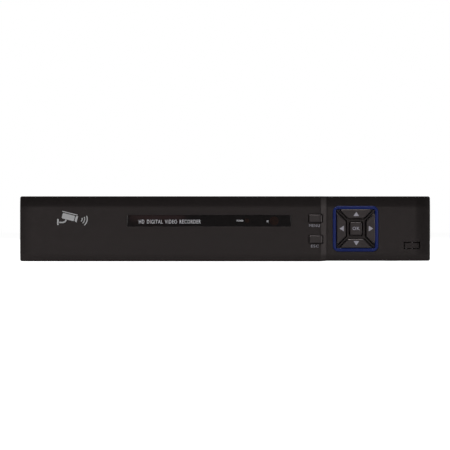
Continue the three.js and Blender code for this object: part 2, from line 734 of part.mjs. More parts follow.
function coaxSocket(x, z, upper) {
  const { body, barrel, bore, nut, insulator } = COAX;
  const tip = DEPTH / 2;
  const well = REAR + 1.5;
  const metal = turnedY(
    [
      [0, BEHIND_PANEL - 1],
      [barrel, BEHIND_PANEL - 1],
      [barrel, tip],
      [bore, tip],
      [bore, well],
      [insulator, well],
      [insulator, tip - 1.5],
      [0, tip - 1.5],
    ],
    x,
    z,
    12,
  );
  const hexNut = prismY(circle(x, z, nut), REAR + GAP, REAR + GAP + 2.4, 6);
  const lugs = rodZ(z + barrel - 0.4, z + barrel + 1, x, tip - 3.2, 1, 6).add(
    rodZ(z - barrel - 1, z - barrel + 0.4, x, tip - 3.2, 1, 6),
  );
  const front = 101;
  const housing = upper
    ? join(
        block(x - body, x + body, front - 1, BEHIND_PANEL, z - body, z + body),
        block(x - body, x + body, front - 13.5, front - GAP, ON_BOARD, z + body),
      )
    : block(x - body, x + body, front, BEHIND_PANEL, ON_BOARD, z + body);
  return join(housing, metal, hexNut, lugs);
}

COAX.x.forEach((x, column) => {
  COAX.z.forEach((z, row) => {
    const name = `coax_socket_${row === 0 ? "lower" : "upper"}_${column + 1}`;
    add(name, coaxSocket(x, z, row === 1), FINISH.nickel);
  });
});

function phonoBlock() {
  const { x, z, sleeve, bore, reach } = PHONO;
  let made = block(x[0] - 7, x[2] + 7, 100, BEHIND_PANEL, ON_BOARD, z[1] + 7);
  for (const cx of x) {
    for (const cz of z) {
      made = made.add(rodY(BEHIND_PANEL - 1, REAR + reach, cx, cz, sleeve, 12));
      made = made.subtract(rodY(REAR, REAR + reach + 1, cx, cz, bore, 8));
    }
  }
  return made;
}

add("phono_socket_block", phonoBlock(), FINISH.blackPart);

function vgaPort() {
  const { x, z, width, height, screw, reach } = VGA;
  return join(
    block(x - width / 2, x + width / 2, 99, BEHIND_PANEL, z - height / 2, z + height / 2),
    block(x - 14, x + 14, 99.5, 111, ON_BOARD, z),
    prismY(dOutline(x, z, 0), BEHIND_PANEL - 1, REAR + reach),
    prismY(circle(x - screw, z, 2.8), BEHIND_PANEL - 1, REAR + 4.4, 6),
    prismY(circle(x + screw, z, 2.8), BEHIND_PANEL - 1, REAR + 4.4, 6),
  );
}

add("vga_port", vgaPort(), FINISH.nickel);

function hdmiPort() {
  const { x, z, width, height } = HDMI;
  const [w, h] = [width / 2, height / 2];
  const shell = block(x - w, x + w, 105.5, PORT_FACE, z - h, z + h);
  const mouth = block(x - w + 0.5, x + w - 0.5, 108.5, PORT_FACE + 1, z - h + 0.5, z + h - 0.5);
  const tongue = block(x - 5.8, x + 5.8, 108, PORT_FACE - 1, z - 0.1, z + 0.9);
  const foot = block(x - w + 0.4, x + w - 0.4, 106, 111, ON_BOARD, z - h + 0.2);
  return join(cut(shell, mouth), tongue, foot);
}

add("hdmi_port", hdmiPort(), FINISH.nickel);

function lanPort() {
  const { x, width, height, depth, jackWidth, jackHeight, jackDepth } = LAN;
  const [half, jackHalf] = [width / 2, jackWidth / 2];
  const shell = block(x - half, x + half, PORT_FACE - depth, PORT_FACE, ON_BOARD, ON_BOARD + height);
  const z = ON_BOARD + 1.2;
  const jackTop = z + jackHeight;
  const [y0, y1] = [PORT_FACE - jackDepth, PORT_FACE + 1];
  const jack = block(x - jackHalf, x + jackHalf, y0, y1, z, jackTop);
  const latch = block(x - 3, x + 3, y0, y1, jackTop - 0.1, jackTop + 1.8);
  return cut(shell, jack, latch);
}

add("lan_port", lanPort(), FINISH.nickel);

function usbPorts() {
  const { x, width, height, depth, portWidth, portHeight } = USB;
  let made = block(x - width / 2, x + width / 2, PORT_FACE - depth, PORT_FACE, ON_BOARD, ON_BOARD + height);
  for (const z of [ON_BOARD + 4, ON_BOARD + 11.6]) {
    const [w, h] = [portWidth / 2, portHeight / 2];
    made = made.subtract(block(x - w, x + w, PORT_FACE - 11, PORT_FACE + 1, z - h, z + h));
    made = made.add(block(x - 5.4, x + 5.4, PORT_FACE - 11.2, PORT_FACE - 1, z - 0.2, z + 1.6));
  }
  return made;
}

add("usb_ports", usbPorts(), FINISH.nickel);

function powerJack() {
  const { x, width, height, depth, bore, pin } = POWER;
  const z = ON_BOARD + 6;
  const body = block(x - width / 2, x + width / 2, PORT_FACE - depth, PORT_FACE, ON_BOARD, ON_BOARD + height);
  return cut(body, rodY(PORT_FACE - 10, PORT_FACE + 1, x, z, bore, 16)).add(
    rodY(PORT_FACE - 10.5, PORT_FACE - 1, x, z, pin, 8),
  );
}

add("power_jack", powerJack(), FINISH.blackPart);

// ---------------------------------------------------------------- fan
const FAN_BACK = BEHIND_PANEL;
const FAN_FRONT = FAN_BACK - FAN.depth;
const HUB = { radius: 9, mount: 9.6, mountDepth: 1.5, front: 1.9, back: 9.2 };
const BLADES = { count: 7, tip: 17.7, pitch: 35, thick: 1 };

function fanFrame() {
  const { x, z, size, bore } = FAN;
  const shape = roundedRect(x, z, size, size, 2);
  shape.holes.push(circle(x, z, bore));
  let made = prismY(shape, FAN_FRONT, FAN_BACK, 24);
  made = made.add(rodY(FAN_FRONT, FAN_FRONT + HUB.mountDepth, x, z, HUB.mount, 20));
  const strut = HUB.mountDepth;
  made = join(
    made,
    block(x - bore - 0.5, x + bore + 0.5, FAN_FRONT, FAN_FRONT + strut, z - 1, z + 1),
    block(x - 1, x + 1, FAN_FRONT, FAN_FRONT + strut, z - bore - 0.5, z + bore + 0.5),
  );
  for (const dx of [-16, 16]) {
    for (const dz of [-16, 16]) {
      made = made.subtract(rodY(FAN_FRONT - 1, FAN_BACK + 1, x + dx, z + dz, 1.7, 8));
    }
  }
  return made;
}

add("fan_frame", fanFrame(), FINISH.blackPart);

function fanBlade(turn) {
  const length = BLADES.tip - HUB.radius + 1;
  const chord = 8;
  const blade = new THREE.BoxGeometry(length, BLADES.thick, chord);
  blade.applyMatrix4(new THREE.Matrix4().makeRotationX((BLADES.pitch * Math.PI) / 180));
  blade.translate(HUB.radius - 1 + length / 2, 0, 0);
  blade.applyMatrix4(new THREE.Matrix4().makeRotationY(turn));
  const middle = FAN_FRONT + (HUB.front + HUB.back) / 2;
  return solid(blade.translate(FAN.x, middle, FAN.z));
}

function fanRotor() {
  const { x, z } = FAN;
  const hub = rodY(FAN_FRONT + HUB.front, FAN_FRONT + HUB.back, x, z, HUB.radius, 20);
  const blades = Array.from({ length: BLADES.count }, (_, i) => fanBlade((i * 2 * Math.PI) / BLADES.count));
  const swept = rodY(FAN_FRONT + HUB.front, FAN_FRONT + HUB.back, x, z, BLADES.tip, 20);
  return join(hub, ...blades).intersect(swept);
}

add("fan_rotor", fanRotor(), FINISH.blackPart);

// ---------------------------------------------------------------- boards and drive
const CHIP = { x: 30, y: 52, half: 14, top: 13.4 };
const DRIVE_HEADER = { x: 14, y: 26 };
const RIBBON_HEADER_Y = 16;

function mainBoard() {
  const { x0, x1, y0, y1, z0, z1 } = BOARD;
  const onTop = z1 - 0.2;
  return join(
    block(x0, x1, y0, y1, z0, z1),
    block(CHIP.x - CHIP.half, CHIP.x + CHIP.half, CHIP.y - CHIP.half, CHIP.y + CHIP.half, onTop, CHIP.top),
    block(58, 70, 42, 62, onTop, 12.4),
    block(76, 88, 42, 62, onTop, 12.4),
    block(DRIVE_HEADER.x - 8, DRIVE_HEADER.x + 8, DRIVE_HEADER.y - 4, DRIVE_HEADER.y + 4, onTop, 17),
    block(RIBBON.x + 4, RIBBON.x + 24, RIBBON_HEADER_Y - 3, RIBBON_HEADER_Y + 3, onTop, 15),
    rodZ(onTop, 16.5, -60, 60, 10.2, 16),
    rodZ(onTop, 21, -92, 78, 5, 12),
    rodZ(onTop, 21, -92, 64, 5, 12),
    block(-42, -28, 50, 64, onTop, 17),
  );
}

add("main_board", mainBoard(), FINISH.board);

function heatSink() {
  const half = 20;
  const base = CHIP.top + GAP;
  const { x, y } = CHIP;
  let made = block(x - half, x + half, y - half, y + half, base, base + 3);
  for (let i = 0; i < 9; i++) {
    const at = x - half + i * 4.8;
    made = made.add(block(at, at + 1.6, y - half, y + half, base + 2, base + 14));
  }
  return made;
}

add("heat_sink", heatSink(), FINISH.aluminium);

const DRIVE_PLUG = { y: -72, z: 10.4 };

function hardDrive() {
  const { x0, x1, y0, y1, z0, z1 } = DRIVE;
  const body = prismZ(roundedRect((x0 + x1) / 2, (y0 + y1) / 2, x1 - x0, y1 - y0, 3), z0, z1 - 3, 2);
  const lid = prismZ(roundedRect((x0 + x1) / 2, (y0 + y1) / 2, x1 - x0 - 5, y1 - y0 - 5, 3), z1 - 3.5, z1, 2);
  const socket = block(x1 - 4, x1 + 1, DRIVE_PLUG.y - 23, DRIVE_PLUG.y + 23, z0 - 1, z0 + 7);
  const holes = DRIVE_MOUNTS.map(([x, y]) => rodZ(z0 - 1, z0 + 5, x, y, 1.6, 8));
  return cut(join(body, lid), socket, ...holes);
}

add("hard_drive", hardDrive(), FINISH.aluminium);

// ---------------------------------------------------------------- cables held inside the case
function tube(points, radius, sides, rings) {
  const path = new THREE.CatmullRomCurve3(points.map((p) => new THREE.Vector3(...p)));
  const section = new THREE.Shape(
    Array.from({ length: sides }, (_, i) => {
      const a = (i * 2 * Math.PI) / sides;
      return new THREE.Vector2(radius * Math.cos(a), radius * Math.sin(a));
    }),
  );
  return solid(new THREE.ExtrudeGeometry(section, { extrudePath: path, steps: rings, bevelEnabled: false }));
}

function driveCable() {
  const plugX = DRIVE.x1 - 4 + GAP;
  const { y, z } = DRIVE_PLUG;
  const plug = block(plugX, plugX + 14, y - 22, y + 22, z - 3, z + 2.6);
  const { x: headerX, y: headerY } = DRIVE_HEADER;
  const socket = block(headerX - 7, headerX + 7, headerY - 3.5, headerY + 3.5, 17.3, 25);
  const cord = tube(
    [
      [plugX + 12, y + 6, z],
      [plugX + 20, y + 10, z],
      [16, y + 30, 9],
      [16, -20, 9],
      [14, 2, 18],
      [headerX, headerY - 12, 30],
      [headerX, headerY - 2, 31],
      [headerX, headerY, 24],
    ],
    2.6,
    8,
    26,
  );
  return join(plug, socket, cord);
}

add("drive_cable", driveCable(), FINISH.cable);

// The flat cable bends only in the plane x = RIBBON.x + 7: its outline is one strip, in (y, z).
function panelCable() {
  const thick = 1;
  const start = behind(CONTROL_BOARD.back + 2 + GAP);
  const z = up(RIBBON.header);
  const line = [
    [start + 2, z],
    [start + 14, z],
    [start + 24, 8],
    [-60, 7],
    [-10, 7],
    [1, 14],
    [6, 22],
    [RIBBON_HEADER_Y, 22],
    [RIBBON_HEADER_Y, 18],
  ];
  const points = line.map(([a, b]) => new THREE.Vector3(a, b, 0));
  const curve = new THREE.CatmullRomCurve3(points, false, "centripetal");
  const middle = curve.getPoints(30);
  const sideOf = (side) =>
    middle.map((p, i) => {
      const before = middle[Math.max(i - 1, 0)];
      const after = middle[Math.min(i + 1, middle.length - 1)];
      const along = after.clone().sub(before).normalize();
      return [p.x - (side * along.y * thick) / 2, p.y + (side * along.x * thick) / 2];
    });
  const strip = outline([...sideOf(-1), ...sideOf(1).reverse()]);
  const x = RIBBON.x;
  const flat = prismX(strip, x - 6, x + 6 + 14);
  const plug = block(x - 8, x + 8, start, start + 4, z - 2.6, z + 2.6);
  const narrow = flat.intersect(block(x - 6, x + 6, start, 8, 0, 40));
  const wide = flat.intersect(block(x - 6, x + 20, 7.5, 40, 0, 40));
  const end = block(x + 5, x + 23, RIBBON_HEADER_Y - 2.6, RIBBON_HEADER_Y + 2.6, 15.3, 20);
  return join(plug, narrow, wide, end);
}

add("panel_cable", panelCable(), FINISH.cable);

export default recorder;
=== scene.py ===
"""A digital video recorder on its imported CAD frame: moulded front, keys, steel case and rear sockets."""
import math

import bmesh
import bpy
import numpy as np
from mathutils import Matrix, Vector
from mathutils.geometry import delaunay_2d_cdt


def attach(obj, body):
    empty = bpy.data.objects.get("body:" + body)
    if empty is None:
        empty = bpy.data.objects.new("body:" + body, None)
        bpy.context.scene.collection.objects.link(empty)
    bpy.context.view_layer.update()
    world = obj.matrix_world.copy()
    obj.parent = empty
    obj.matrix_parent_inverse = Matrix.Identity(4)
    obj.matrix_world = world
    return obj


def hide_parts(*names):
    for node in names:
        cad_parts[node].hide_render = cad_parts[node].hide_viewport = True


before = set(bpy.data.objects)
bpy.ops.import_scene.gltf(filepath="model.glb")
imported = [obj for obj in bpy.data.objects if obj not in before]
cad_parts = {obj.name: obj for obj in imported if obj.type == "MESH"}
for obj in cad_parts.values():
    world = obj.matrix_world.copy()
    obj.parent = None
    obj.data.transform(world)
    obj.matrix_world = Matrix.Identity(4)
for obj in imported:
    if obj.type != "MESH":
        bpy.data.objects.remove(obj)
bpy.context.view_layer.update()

MM = 0.001

# ---- driving dimensions, in mm
# x runs to the right and y to the rear. A height h counts from the front's lower edge, at z = LIFT.
WIDTH, DEPTH, HEIGHT, LIFT = 325.0, 257.5, 51.0, 0.6
HALF = WIDTH / 2
KEY_PROUD = 0.5  # of the key tops, past the front round them
BULGE = 3.2  # of the left part of the front, past the right part
FRONT = -DEPTH / 2 + KEY_PROUD + BULGE  # y of the right part of the front
RIM = FRONT + 22 - BULGE  # y of the moulded front's back edge
SHEET = 1.0
TIP = DEPTH / 2  # y of the coaxial sockets' ends
REAR = TIP - 12  # y of the rear panel's outside
BEHIND_PANEL = REAR - SHEET - 0.6  # y of the sockets' bodies, just inside the rear panel
PORT_FACE = REAR + 0.8
BOARD_TOP = 11.35  # z of the main board's upper side
STEP_X, STEP_WIDTH = 75.3, 5.6  # the slanting facet between the two parts of the front
STEP_END = STEP_X + STEP_WIDTH
TOP_BAND, BOTTOM_BAND, LEFT_BAND, RIGHT_BAND = 8.2, 5.0, 12.0, 11.5  # where the front leans back
RIGHT_RAISE = 0.4  # of the right part's lower edge
WALL, SIDE_WALL = 2.8, 2.2
WINDOW = {"x": -12.6, "h": 31.7, "w": 130.2, "t": 9.6, "pocket": 1.6, "sunk": 0.2, "lens": 1.1}
LED = {"x": 17.6, "h": 31.9, "size": 3.2}
INFRARED = {"x": 38.9, "h": 31.65, "r": 3.5}
PAD_X, PAD_H = 103.8, 25.5
ARROWS_X, ARROWS_H = 104.1, 25.6  # the middle of the four printed arrows
RING = {"x": 103.63, "h": 25.47, "w": 35.8, "t": 35.85, "r": 4.5}
RING_DEPTH = 4.6
FRAME_BACK = 5.9
KEY_BACK = FRAME_BACK + 1.3
OUTER_KEYS = ("up", "left", "down", "right")  # each a quarter turn to the left of the one before
KEY_REACH = 11.6  # from the pad's middle to that of each outer key
POST_RADIUS, POST_END = 1.6, FRONT + 8.6
SIDE_KEYS = {"menu": (71.7, 33.6), "esc": (72.0, 17.05)}
USB_BLANK = {"x": 148.2, "h": 12.2, "w": 12.8, "t": 5.7, "groove": 0.8, "tab": 1.1}
GAP = 0.3
INK_OVER, INK_UNDER = 0.03, 0.04  # printing, above and below its face
COAX_COLUMNS = (85, 102, 119, 136)
FAN_X, FAN_Z, FAN_Y = -134.0, 28.4, BEHIND_PANEL - 4.5
HUB_RADIUS, BLADE_RADIUS, BLADES = 8.6, 17.6, 7
FOOT_X, DRIVE_SCREW_Z, COVER_SCREW_X = 135, 3.1, 160.3
CASE_ENDS = (("front", -85), ("rear", 95))  # y of the feet and of the cover's screws


# ---- flat loops, in (x, height) or any plane
def rounded(corners, radii, arc=5, cuts=1):
    """A closed loop through the corners, each rounded to its radius, with its sides cut into pieces."""
    n = len(corners)
    radii = radii if isinstance(radii, (list, tuple)) else [radii] * n
    cuts = cuts if isinstance(cuts, (list, tuple)) else [cuts] * n
    bends = []
    for i, r in enumerate(radii):
        p = Vector(corners[i])
        a = (Vector(corners[i - 1]) - p).normalized()
        b = (Vector(corners[(i + 1) % n]) - p).normalized()
        half = a.angle(b) / 2
        reach = r / math.tan(half)
        middle = p + (a + b).normalized() * (r / math.sin(half))
        bends.append((p + a * reach, p + b * reach, middle, math.pi - 2 * half))
    loop = []
    for i, (start, end, middle, sweep) in enumerate(bends):
        if radii[i] <= 0:
            loop.append(Vector(corners[i]))
        else:
            for k in range(arc + 1):
                t = k / arc
                a, b = math.sin((1 - t) * sweep), math.sin(t * sweep)
                loop.append(middle + ((start - middle) * a + (end - middle) * b) / math.sin(sweep))
        following = bends[(i + 1) % n][0]
        loop.extend(end.lerp(following, k / cuts[i]) for k in range(1, cuts[i]))
    return [(p.x, p.y) for p in loop]


def rounded_rect(cx, cz, w, t, r, arc=5, across=1, along=1):
    left, right, low, high = cx - w / 2, cx + w / 2, cz - t / 2, cz + t / 2
    corners = [(left, low), (right, low), (right, high), (left, high)]
    return rounded(corners, r, arc, [across, along, across, along])


def turns(n, start=0.0):
    """n angles, evenly spaced over one turn."""
    return [start + 2 * math.pi * i / n for i in range(n)]


def circle(cx, cz, r, n=32, start=0.0):
    return [(cx + r * math.cos(a), cz + r * math.sin(a)) for a in turns(n, start)]


def mirrored(half, cx=0.0, cz=0.0):
    """A closed loop made of its right half, listed upwards, and the mirror image of that."""
    return [(cx + x, cz + z) for x, z in half] + [(cx - x, cz + z) for x, z in reversed(half)]


def offset(loop, d):
    """The closed loop moved d to its left, which is inwards when it runs anticlockwise."""
    p = np.array(loop)
    u = p - np.roll(p, 1, axis=0)
    u /= np.linalg.norm(u, axis=1)[:, None]
    v = np.roll(u, -1, axis=0)
    left_u, left_v = np.stack([-u[:, 1], u[:, 0]], 1), np.stack([-v[:, 1], v[:, 0]], 1)
    miter = (left_u + left_v) / (1 + (u * v).sum(1))[:, None]
    return [tuple(q) for q in p + d * miter]


def inside(points, loop):
    p, a = np.asarray(points, float), np.array(loop)
    b = np.roll(a, -1, axis=0)
    x, z = p[:, 0:1], p[:, 1:2]
    crosses = (a[None, :, 1] > z) != (b[None, :, 1] > z)
    slope = (b[:, 0] - a[:, 0]) / np.where(b[:, 1] == a[:, 1], 1e-12, b[:, 1] - a[:, 1])
    return (crosses & (x < a[None, :, 0] + (z - a[None, :, 1]) * slope[None])).sum(1) % 2 == 1


def distance(points, loop):
    p, a = np.asarray(points, float)[:, None], np.array(loop)[None]
    b = np.roll(a, -1, axis=1)
    t = np.clip(((p - a) * (b - a)).sum(2) / ((b - a) ** 2).sum(2), 0, 1)
    return np.linalg.norm(p - a - t[..., None] * (b - a), axis=2).min(1)


def centres(points, triangles):
    return np.array([[sum(points[i][k] for i in t) / 3 for k in (0, 1)] for t in triangles])


def edge_steps(radius, bevelled):
    """(distance in from the edge, drop behind the face) along a round edge, or one with a slanting flat.
    A last ring just inside it keeps the face beyond flat."""
    if not radius:
        return [(0.0, 0.0)]
    if bevelled:
        steps = [(0, 1), (0.04, 0.85), (0.15, 0.65), (0.65, 0.15), (0.85, 0.04), (1, 0)]
    else:
        steps = [(1 - math.cos(a), 1 - math.sin(a)) for a in (math.pi / 2 * k / 5 for k in range(6))]
    return [(radius * away, radius * drop) for away, drop in steps] + [(radius + 0.12, 0.0)]


def fill(outer, holes=(), radius=0.0, columns=(), rows=(), clear=0.5, marks=(), bevelled=False):
    """Triangles over the flat region inside outer and outside the holes, which are (loop, edge radius).
    Each edge with a radius gets rings of points that carry its rounding as a drop.
    Returns the points (x, height, drop), the triangles, and the indices of the outer loop and each hole."""
    points, edges, loops, guards = [], [], [], []

    def put(loop, drop):
        start, n = len(points), len(loop)
        points.extend((x, z, drop) for x, z in loop)
        edges.extend((start + i, start + (i + 1) % n) for i in range(n))
        return list(range(start, start + n))

    for loop, r, side in [(outer, radius, 1)] + [(hole, r, -1) for hole, r in holes]:
        for k, (away, drop) in enumerate(edge_steps(r, bevelled)):
            ring = offset(loop, side * away) if away else loop
            indices = put(ring, drop)
            if k == 0:
                loops.append(indices)
        guards.append((ring, side))
    for loop in marks:
        put(loop, 0.0)
        guards.append((loop, 0))
    grid = np.array([(x, z) for x in columns for z in rows])
    if len(grid):
        keep = np.ones(len(grid), bool)
        for ring, side in guards:
            if side:
                keep &= inside(grid, ring) if side > 0 else ~inside(grid, ring)
            keep &= distance(grid, ring) > clear
        points.extend((x, z, 0.0) for x, z in grid[keep])
    made = delaunay_2d_cdt([Vector(p[:2]) for p in points], edges, [], 0, 1e-7)
    flat, triangles, origin = made[0], made[2], made[3]
    output = {source: i for i, sources in enumerate(origin) for source in sources}
    drops = [points[sources[0]][2] if sources else 0.0 for sources in origin]
    middles = centres(flat, triangles)
    keep = inside(middles, outer)
    for hole, r in holes:
        keep &= ~inside(middles, hole)
    triangles = [tuple(t) for t, kept in zip(triangles, keep) if kept]
    edge_loops = [[output[i] for i in loop] for loop in loops]
    return [(v.x, v.y, d) for v, d in zip(flat, drops)], triangles, edge_loops


# ---- solids
class Part:
    """Collects closed shells, in mm, and makes one Blender object of them."""

    def __init__(self):
        self.verts, self.faces, self.slots = [], [], []

    def add(self, verts, faces, slot=0, place=None):
        start = len(self.verts)
        if place is not None:
            verts = [place @ Vector(v) for v in verts]
        self.verts.extend(tuple(v) for v in verts)
        self.skin([tuple(start + i for i in f) for f in faces], slot)
        return start

    def skin(self, faces, slot=0):
        self.faces.extend(faces)
        self.slots.extend([slot] * len(faces))

    def cover(self, filled, base):
        """Lays what fill returned on the surface y = base(x, h), and returns its edge loops."""
        points, triangles, loops = filled
        start = self.add([(x, base(x, h) + drop, h + LIFT) for x, h, drop in points], triangles)
        return [[start + i for i in loop] for loop in loops]

    def strip(self, a, b, slot=0):
        n = len(a)
        self.skin([(a[i], a[(i + 1) % n], b[(i + 1) % n], b[i]) for i in range(n)], slot)

    def loop(self, points):
        return list(range(self.add(points, []), len(self.verts)))

    def prism(self, loop, y0, y1, slot=0):
        """The loop, in (x, z), as a solid along Y."""
        n = len(loop)
        verts = [(x, y0, z) for x, z in loop] + [(x, y1, z) for x, z in loop]
        faces = [tuple(range(n)), tuple(range(2 * n - 1, n - 1, -1))]
        faces += [(i, (i + 1) % n, n + (i + 1) % n, n + i) for i in range(n)]
        self.add(verts, faces, slot)

    def box(self, x0, x1, y0, y1, z0, z1, slot=0):
        self.prism([(x0, z0), (x1, z0), (x1, z1), (x0, z1)], y0, y1, slot)

    def lathe(self, profile, place, n=32, slot=0):
        """The profile (radius, y) turned about Y, then placed. It ends on the axis, or closes on itself."""
        rings, verts = [], []
        for r, y in profile:
            count = n if r > 1e-6 else 1
            rings.append(list(range(len(verts), len(verts) + count)))
            verts += [(r * math.cos(a), y, r * math.sin(a)) for a in turns(count)]
        closed = len(rings[0]) > 1
        faces = []
        for a, b in zip(rings, rings[1:] + ([rings[0]] if closed else [])):
            for i in range(n):
                quad = [a[i % len(a)], a[(i + 1) % len(a)], b[(i + 1) % len(b)], b[i % len(b)]]
                quad = list(dict.fromkeys(quad))
                if len(quad) > 2:
                    faces.append(tuple(quad))
        self.add(verts, faces, slot, place)

    def pocket(self, outer, inner, y0, y1, floor, lining=0):
        """A solid from y0 to y1 with a pocket, inner, sunk from y1 to floor. Both loops match in points."""
        levels = ((outer, y0), (outer, y1), (inner, y1), (inner, floor))
        rings = [self.loop([(x, y, z) for x, z in loop]) for loop, y in levels]
        self.skin([tuple(rings[0])])
        self.strip(rings[0], rings[1])
        self.strip(rings[1], rings[2])
        self.strip(rings[2], rings[3], lining)
        self.skin([tuple(rings[3])], lining)

    def make(self, name, materials, body, replaces=(), bevel=0.0, smooth=35.0):
        mesh = bpy.data.meshes.new(name)
        mesh.from_pydata([(x * MM, y * MM, z * MM) for x, y, z in self.verts], [], self.faces)
        for m in materials:
            mesh.materials.append(m)
        mesh.polygons.foreach_set("material_index", self.slots)
        face_outwards(mesh)
        mesh.shade_smooth()
        obj = linked(name, mesh)
        if bevel:
            soften(obj, bevel, 1)
        else:
            mesh.set_sharp_from_angle(angle=math.radians(smooth))
        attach(obj, body)
        if replaces:
            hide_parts(*replaces)
        return obj


def linked(name, data):
    obj = bpy.data.objects.new(name, data)
    bpy.context.scene.collection.objects.link(obj)
    return obj


def face_outwards(mesh, weld=0.0):
    """Turns every face outwards, once points closer than weld have become one."""
    bm = bmesh.new()
    bm.from_mesh(mesh)
    if weld:
        bmesh.ops.remove_doubles(bm, verts=bm.verts, dist=weld)
    bmesh.ops.recalc_face_normals(bm, faces=bm.faces)
    bm.to_mesh(mesh)
    bm.free()


def soften(obj, width, segments=2):
    edge = obj.modifiers.new("edges", "BEVEL")
    edge.width, edge.segments = width * MM, segments
    edge.limit_method, edge.angle_limit = "ANGLE", math.radians(32)
    shading = obj.modifiers.new("shading", "WEIGHTED_NORMAL")
    shading.mode, shading.weight = "FACE_AREA", 100


def at(x, z, y=0.0):
    return Matrix.Translation((x, y, z))


# ---- materials
def material(
    name, color, rough, metallic=0.0, vary=0.08,
    blotch=35.0, grain=1800.0, bump=0.05, deep=0.00004, spread=0.06,
):
    """A Principled material whose colour and roughness wander a little, with a fine grain in its bump."""
    mat = bpy.data.materials.new(name)
    mat.use_nodes = True
    nodes, links = mat.node_tree.nodes, mat.node_tree.links
    bsdf = nodes["Principled BSDF"]
    where = nodes.new("ShaderNodeTexCoord").outputs["Object"]

    def noise(scale, detail=3.0):
        node = nodes.new("ShaderNodeTexNoise")
        node.inputs["Scale"].default_value = scale
        node.inputs["Detail"].default_value = detail
        links.new(where, node.inputs["Vector"])
        return node.outputs["Fac"]

    tint = nodes.new("ShaderNodeMix")
    tint.data_type = "RGBA"
    tint.inputs[6].default_value = (*[c * (1 - vary) for c in color], 1)
    tint.inputs[7].default_value = (*[min(1.0, c * (1 + vary)) for c in color], 1)
    links.new(noise(blotch), tint.inputs[0])
    links.new(tint.outputs[2], bsdf.inputs["Base Color"])
    fine = noise(grain, 2.0)
    ranged = nodes.new("ShaderNodeMapRange")
    ranged.inputs["To Min"].default_value = max(0.02, rough - spread)
    ranged.inputs["To Max"].default_value = min(1.0, rough + spread)
    links.new(noise(blotch * 3, 4.0), ranged.inputs["Value"])
    links.new(ranged.outputs["Result"], bsdf.inputs["Roughness"])
    relief = nodes.new("ShaderNodeBump")
    relief.inputs["Strength"].default_value = bump
    relief.inputs["Distance"].default_value = deep
    links.new(fine, relief.inputs["Height"])
    links.new(relief.outputs["Normal"], bsdf.inputs["Normal"])
    bsdf.inputs["Metallic"].default_value = metallic
    return mat


def socket(mat, name):
    return mat.node_tree.nodes["Principled BSDF"].inputs[name]


MOULDED = material(
    "bezel_plastic", (0.0062, 0.0047, 0.0045), 0.39,
    vary=0.15, blotch=110, grain=1500, bump=0.24, deep=0.00003,
)
CAPS = material("key_plastic", (0.021, 0.018, 0.0185), 0.37, grain=3200, bump=0.12, deep=0.00002)
GLASSY = material("window_smoke", (0.0125, 0.0105, 0.0105), 0.04, vary=0.15, bump=0.0, spread=0.015)
AMBER = material("window_filter", (0.026, 0.0135, 0.0105), 0.06, vary=0.15, bump=0.02, spread=0.03)
BLUE = material("ring_blue", (0.006, 0.011, 0.06), 0.32, vary=0.3, blotch=160, bump=0.04, spread=0.08)
INK = material("print_white", (0.88, 0.88, 0.93), 0.5)
SILVER_INK = material("print_silver", (0.66, 0.66, 0.67), 0.4)
PALE_INK = material("print_lilac", (0.54, 0.52, 0.59), 0.5)
POWDER = material("powder_coat", (0.0105, 0.0105, 0.011), 0.5, vary=0.15, grain=1500, bump=0.35, deep=0.00006)
ZINC = material("zinc_plate", (0.42, 0.43, 0.45), 0.38, 1.0, vary=0.16, blotch=160, grain=900, bump=0.06)
NICKEL = material("nickel_plate", (0.58, 0.55, 0.5), 0.24, 1.0, blotch=90)
GOLD = material("gold_contact", (0.8, 0.55, 0.2), 0.25, 1.0, bump=0.03)
TIN = material("tin_plate", (0.5, 0.5, 0.5), 0.35, 1.0, vary=0.1, bump=0.06)
SATIN_METAL = material("satin_aluminium", (0.52, 0.53, 0.55), 0.36, 1.0, blotch=60, bump=0.08)
SCREW = material("black_zinc", (0.03, 0.03, 0.032), 0.34, 0.9, vary=0.15, bump=0.06)
RUBBER = material("foot_rubber", (0.011, 0.011, 0.011), 0.85, vary=0.15, grain=900, bump=0.3, deep=0.00008)
SOLDER_MASK = material("circuit_board", (0.012, 0.09, 0.03), 0.38, vary=0.3, blotch=260, bump=0.1)
BLACK_PART = material("black_moulding", (0.01, 0.01, 0.011), 0.5, vary=0.12, bump=0.15)
IVORY = material("ivory_insulator", (0.62, 0.58, 0.47), 0.42, vary=0.06)
RED_PART = material("red_moulding", (0.42, 0.02, 0.015), 0.42, bump=0.08)
WHITE_PART = material("white_moulding", (0.7, 0.7, 0.68), 0.42, vary=0.05, bump=0.08)
PORT_BLUE = material("port_blue", (0.012, 0.05, 0.3), 0.42, vary=0.1, bump=0.08)
CLEAR = material("lamp_resin", (0.6, 0.66, 0.78), 0.12, vary=0.05, bump=0.02)
SHEATH = material("cable_sheath", (0.016, 0.016, 0.018), 0.55, vary=0.12, bump=0.15)
RIBBON = material("ribbon_sheath", (0.36, 0.37, 0.38), 0.5, vary=0.1, bump=0.1)
AMBER_LAMP = material("link_lamp", (0.5, 0.26, 0.03), 0.25, vary=0.05, bump=0.02)
GREEN_LAMP = material("activity_lamp", (0.05, 0.35, 0.06), 0.25, vary=0.05, bump=0.02)

for tinted in (MOULDED, CAPS):
    socket(tinted, "Specular Tint").default_value = (1, 0.87, 0.86, 1)
socket(CAPS, "Specular IOR Level").default_value = 0.6
socket(BLUE, "Specular IOR Level").default_value = 0.25
# Painted glow: a faint blue emission brightens the ring as if it were lit, though its lamp is off.
socket(BLUE, "Emission Color").default_value = (0.02, 0.07, 0.6, 1)
socket(BLUE, "Emission Strength").default_value = 0.075


# ---- the front surface
def proud(x):
    """How far the left part and the facet stand out past the right part."""
    if x >= STEP_END:
        return 0.0
    if x > STEP_X:
        return BULGE * (1 - (x - STEP_X) / STEP_WIDTH)
    return BULGE * math.sin(math.pi / 2 * (x + HALF) / (STEP_X + HALF))


